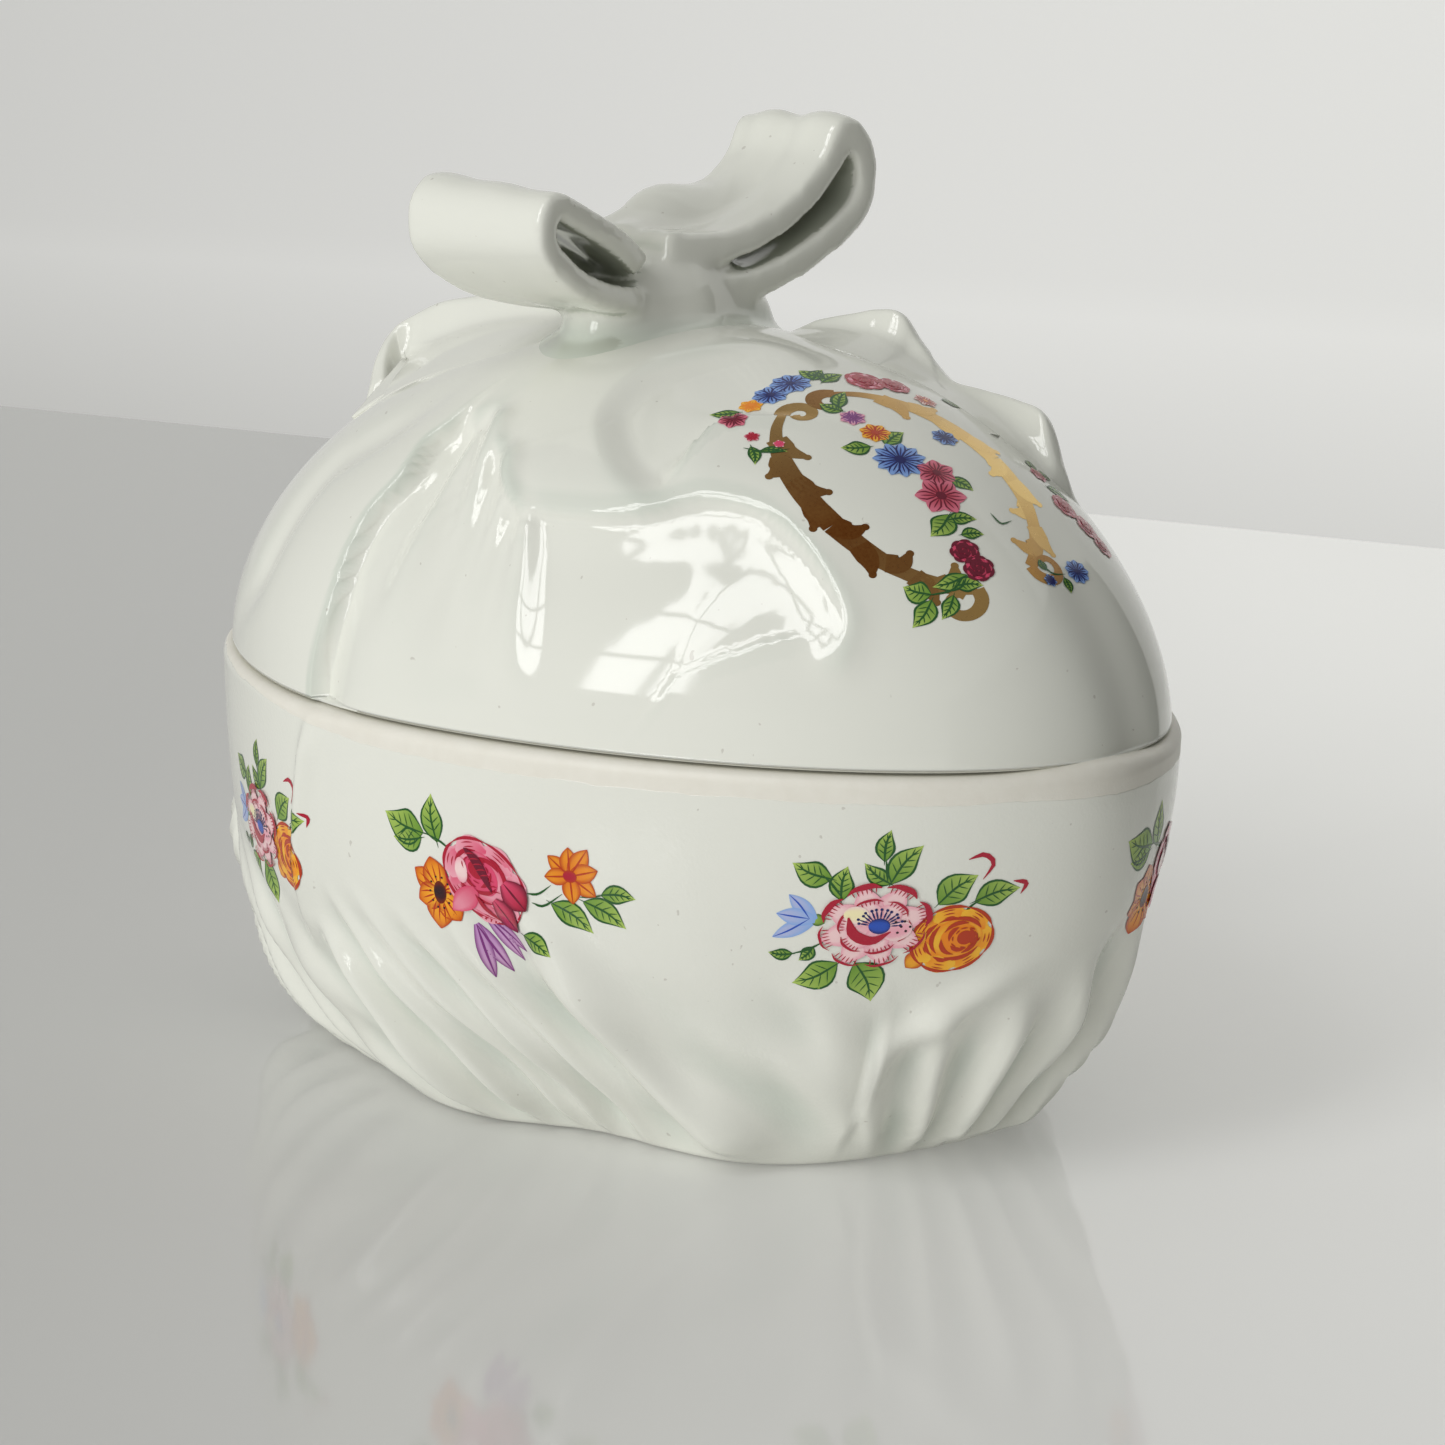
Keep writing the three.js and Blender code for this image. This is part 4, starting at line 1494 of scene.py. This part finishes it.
# %% Garland leaves
GARLAND_LEAVES = (
    ((20, -14), (18, -16.2), 0.7), ((21, -4.2), (18.2, -4.8), 0.9), ((21.5, -5), (21, -2), 0.8),
    ((20.6, -5.2), (19.4, -3), 0.7), ((25.4, -18), (27.6, -19.6), 0.55),
    ((26.5, -17.8), (28.4, -16), 0.4), ((26.6, -7.4), (24.4, -8.2), 0.8),
    ((26, -7.3), (24, -4.6), 0.7), ((32.4, -9.4), (31, -11.8), 1.0), ((33, -8), (32.2, -5), 0.9),
    ((39.8, -6), (42.2, -4.8), 0.8), ((43.8, -9.4), (45.2, -12.8), 1.3),
    ((44.4, -10), (45.6, -7.2), 0.8), ((46.6, -10), (47.6, -7.8), 0.7),
    ((51, -12.6), (50.4, -16.4), 1.0), ((51.6, -14.4), (53, -11.8), 0.9),
    ((51, -17), (48.6, -18.8), 1.3), ((51.6, -17.4), (53.2, -20.8), 1.2),
    ((52.4, -15.2), (54.2, -17.8), 0.9), ((27.5, 6), (29, 8), 0.8), ((40, 7.5), (38.6, 9), 0.7),
    ((40.6, 8), (41.4, 10), 0.7), ((43, 6.6), (45, 9.6), 0.8), ((55.4, -1.6), (57.6, -2), 0.6),
    ((54, -3.6), (52.4, -3.6), 0.5), ((49.6, 7.4), (51.6, 10.4), 0.8))
GARLAND_STEMS = (((25, -18.6), (27, -17.6), (28.2, -15.6)), ((50.8, -17.6), (51.8, -15), (51, -12.8)),
                 ((45.4, -5.2), (47, -5), (47, -3.4)), ((53, -3.8), (54.6, -3), (55, -1)))
print("leaves", len(GARLAND_LEAVES), "stems", len(GARLAND_STEMS))

# %% [markdown]
# ## Flowers of the garland
# Each small flower has a place, a radius, a number of petals, a paint, a turn and a petal width.
# The paints are sets of four: the inside and outside of a petal, its veins and the heart.

# %% Garland flowers
PETAL_PAINTS = {"blue": (BLUE, SKY, NAVY, NAVY),
                "red": (CRIMSON, ROSE * 0.6 + PINK * 0.4, WINE, WINE),
                "rosy": (CRIMSON, PINK, CRIMSON, CRIMSON),
                "blush": (PINK, BLUSH, ROSE, ROSE),
                "lilac": (LILAC, PINK, PLUM, PLUM),
                "orange": (ORANGE, YELLOW, RUST, RUST),
                "yellow": (YELLOW, YELLOW, ORANGE, ORANGE),
                "peach": (ORANGE * 0.5 + BLUSH * 0.5, BLUSH, RUST, ORANGE),
                "pink": (ROSE, PINK, CRIMSON, CRIMSON)}
GARLAND_FLOWERS = (
    ((20, -12.5), 1.2, 6, "yellow", 0, 0.42), ((20, -10), 1.7, 8, "blue", 10, 0.42),
    ((19.8, -7.3), 1.9, 9, "blue", 30, 0.42), ((21, -16), 1.5, 6, "red", 0, 0.42),
    ((24.4, -16.8), 0.8, 5, "rosy", 0, 0.42), ((27, -15.8), 0.6, 5, "blush", 0, 0.42),
    ((28, -7.5), 1.3, 6, "lilac", 20, 0.42), ((31, -7.5), 1.5, 7, "orange", 10, 0.42),
    ((35.4, -8.4), 2.6, 11, "blue", 5, 0.3), ((38.6, -6.6), 2.0, 6, "red", 30, 0.42),
    ((41.4, -8.4), 2.6, 6, "red", 0, 0.38), ((34.4, -1.6), 1.4, 7, "blue", 0, 0.42),
    ((28, 2.4), 1.3, 6, "peach", 0, 0.42), ((41, 7.3), 1.2, 6, "pink", 0, 0.42),
    ((55, 1), 1.7, 9, "blue", 0, 0.42), ((55.4, -4), 0.9, 6, "blue", 0, 0.42))
DARK_ROSES = (((48.5, -11), 1.4), ((51, -11), 1.5))
PINK_ROSES = (((23, -1), 1.8), ((24.6, 1.4), 1.5), ((46, 6.8), 1.6), ((49, 8.6), 1.7), ((51.6, 9.4), 1.5))


def lid_garland(paint):
    paint.level = 2
    for base, tip, width in GARLAND_LEAVES:
        paint.leaf(base, tip, width)
    for stem in GARLAND_STEMS:
        paint.line(stem, 0.14, DARK_GREEN, 1)
    paint.level = 4
    for centre, radius, count, name, turn, width in GARLAND_FLOWERS:
        open_flower(paint, centre, radius, count, *PETAL_PAINTS[name], 1.0, turn, width)
    for centre, size in DARK_ROSES:
        rose(paint, centre, size, size, 0, centre, (WINE, CRIMSON * 0.6 + ROSE * 0.4, ROSE))
    for centre, size in PINK_ROSES:
        rose(paint, centre, size, size, 20, centre, (CRIMSON, ROSE, PINK))


print("flowers", len(GARLAND_FLOWERS), "roses", len(DARK_ROSES) + len(PINK_ROSES))

# %% [markdown]
# ## Painting the lid
# The plan of the unrolled dome is turned back into places on the dome, each with its normal. The
# gilt goes on first and the garland over it, as two pieces with finishes of their own.

# %% Painting the lid
def on_lid(points):
    angle = np.arctan2(points[:, 1], points[:, 0])
    radius = rim_radius(angle) - LID_INSET
    length = math.pi / 2 * np.sqrt((radius ** 2 + RISE ** 2) / 2)
    share = np.sin(np.clip(np.hypot(points[:, 0], points[:, 1]) / length, 0, 0.999) * math.pi / 2)
    x = radius * share * np.cos(angle)
    y = radius * share * np.sin(angle)
    z = LID_EDGE + RISE * (1 - share ** 2) ** (1 / DOME_POWER)
    slope = 2 * RISE / DOME_POWER * share * (1 - share ** 2) ** (1 / DOME_POWER - 1) / radius
    normal = np.stack([slope * np.cos(angle), slope * np.sin(angle), np.ones_like(slope)], 1)
    normal /= np.linalg.norm(normal, axis=1, keepdims=True)
    return np.stack([x, y, z], 1), normal


scroll_drawing = Painting()
gilt_scrolls(scroll_drawing)
scrolls = lay(scroll_drawing, "lid_scrolls", on_lid, lid, "lid")
garland_drawing = Painting()
lid_garland(garland_drawing)
garland = lay(garland_drawing, "lid_garland", on_lid, lid, "lid")

# %% [markdown]
# ## Enamel and gold
# Both finishes read the colour painted on the points; on the gilt that colour is a painted reflection.
# Enamel is a little less smooth than the glaze. The gilding is thin, so brown shows through, and it is
# worn paler in places.

# %% Enamel and gold
def enamel():
    recipe = Recipe("enamel")
    colour = recipe.attribute("paint", "Color")
    grain = recipe.between(recipe.noise(1500, 2), 0.2, 0.8)
    colour = recipe.blend(grain * 0.15, colour, (0.5, 0.5, 0.5, 1), "OVERLAY")
    return recipe.finish(Base_Color=colour, Roughness=0.12, IOR=1.5)


def gold():
    recipe = Recipe("gold")
    worn = recipe.between(recipe.noise(90, 2), 0.4, 0.75)
    # The colour on the gilt points is a painted reflection, bright or deep by scroll.
    tone = recipe.attribute("paint", "Color")
    grain = recipe.noise(3000, 2)
    colour = recipe.blend(worn * 0.35 + grain * 0.15, tone, (0.75, 0.45, 0.13, 1))
    return recipe.finish(Base_Color=colour, Metallic=0.9, Roughness=0.24 + 0.1 * grain)


enamel_paint = enamel()
bowl_flowers.data.materials.append(enamel_paint)
garland.data.materials.append(enamel_paint)
scrolls.data.materials.append(gold())
print("finishes", enamel_paint.name, scrolls.data.materials[0].name)

# %% [markdown]
# ## Table and wall
# A pale wall and a pale, slightly shiny table fill the reflections. Both carry painted light: their colour
# and a glow run from a painted shaded left to a painted brighter right, though neither is a lamp. A black
# sheet out of view stands in for shade and darkens the right side of the box.

# %% Table and wall
def painted_light_material(name, roughness, side, far, near, glow):
    """Painted light: colour and glow run from painted shade at `far` to painted light at `near`, along the
    level direction to the right.
    """
    recipe = Recipe(name)
    x = recipe.node("ShaderNodeSeparateXYZ", {}, {0: recipe.place()}, 0)
    y = recipe.node("ShaderNodeSeparateXYZ", {}, {0: recipe.place()}, 1)
    painted_lit_share = recipe.between(x * math.cos(AZIMUTH) + y * math.sin(AZIMUTH), *side)
    painted_shade_tint = recipe.blend(painted_lit_share, far, near)
    painted_glow_colour = recipe.blend(painted_lit_share, (0.1, 0.1, 0.1, 1), (1, 1, 0.97, 1))
    # Painted light: the glow makes the table and the wall give light though neither is a lamp, brighter to
    # the right.
    return recipe.finish(Base_Color=painted_shade_tint, Emission_Color=painted_glow_colour, Emission_Strength=glow,
                         Roughness=roughness)


def flat_sheet(name, corners, paint):
    bpy.ops.object.select_all(action="DESELECT")
    bpy.ops.mesh.primitive_plane_add(size=2)
    sheet = bpy.context.object
    sheet.name = name
    for vertex, corner in zip(sheet.data.vertices, corners):
        vertex.co = corner
    sheet.data.materials.append(paint)


def upright(name, left, right, low, high, paint):
    """A standing sheet over a line on the table."""
    flat_sheet(name, [(*left, low), (*right, low), (*left, high), (*right, high)], paint)


def room():
    """A pale table whose back edge runs a little askew, a wall behind it, and a dark side."""
    table = painted_light_material("table_painted_light", 0.075, (-0.10, 0.13), (0.60, 0.60, 0.585, 1),
                           (0.86, 0.86, 0.84, 1), 0.18)
    wall = painted_light_material("wall_painted_light", 0.9, (-1.6, 1.2), (0.76, 0.76, 0.75, 1),
                          (0.80, 0.80, 0.785, 1), 0.42)
    black = (0.08, 0.08, 0.08, 1)
    dark = painted_light_material("dark_paint", 0.8, (0, 1), black, black, 0.0)
    flat_sheet("table", [(-1.4, -2.0, 0), (1.8, -1.4, 0), (-2.0, -0.1, 0), (1.6, 0.735, 0)], table)
    upright("wall", (-2.6, 0.12), (1.6, 1.09), -0.6, 1.4, wall)
    # Painted shade: a black sheet out of view stands where there is only shade, to darken the right side
    # of the box.
    upright("dark_side", (0.36, -0.24), (0.09, 0.22), -0.02, 0.2, dark)


room()
print("stage sheets are up")

# %% [markdown]
# ## Window and soft light
# The window is six area lights in two columns, with gaps for the glazing bars. Its reflection in
# the lid tells the eye that the glaze is wet and smooth. A low soft light fills the front of the
# bowl, and is kept out of reflections. The world gives a little light from everywhere.

# %% Light
def window_pane(place, aim, width, height, power):
    bpy.ops.object.light_add(type="AREA", location=place)
    pane = bpy.context.object
    pane.data.shape = "RECTANGLE"
    pane.data.size = width
    pane.data.size_y = height
    pane.data.energy = power
    pane.rotation_euler = (Vector(aim) - Vector(place)).to_track_quat("-Z", "Y").to_euler()
    return pane


def window(centre, aim, columns, rows, pane_width, pane_height, gap, power):
    """Panes in a plane that faces the aim, with dark bars between them."""
    centre = Vector(centre)
    inward = (Vector(aim) - centre).normalized()
    right = inward.cross(Vector((0, 0, 1))).normalized()
    up = right.cross(inward)
    for column in range(columns):
        for row in range(rows):
            shift = right * (column - (columns - 1) / 2) * (pane_width + gap) \
                + up * (row - (rows - 1) / 2) * (pane_height + gap)
            pane = window_pane(centre + shift, centre + shift + inward, pane_width, pane_height, power)
            pane.name = f"pane_{column}_{row}"


def surroundings():
    world = bpy.data.worlds.new("room")
    bpy.context.scene.world = world
    world.use_nodes = True
    background = world.node_tree.nodes["Background"]
    background.inputs["Color"].default_value = (0.83, 0.83, 0.80, 1)
    background.inputs["Strength"].default_value = 0.40


surroundings()
window((-0.015, -0.70, 0.60), (0, 0, 0.05), 2, 3, 0.108, 0.235, 0.026, 0.39)
soft = window_pane((0.0, -0.95, 0.10), (0, 0, 0.02), 1.2, 0.3, 4.8)
soft.visible_glossy = False
soft.name = "soft_side"
bpy.context.scene.view_settings.view_transform = "Standard"
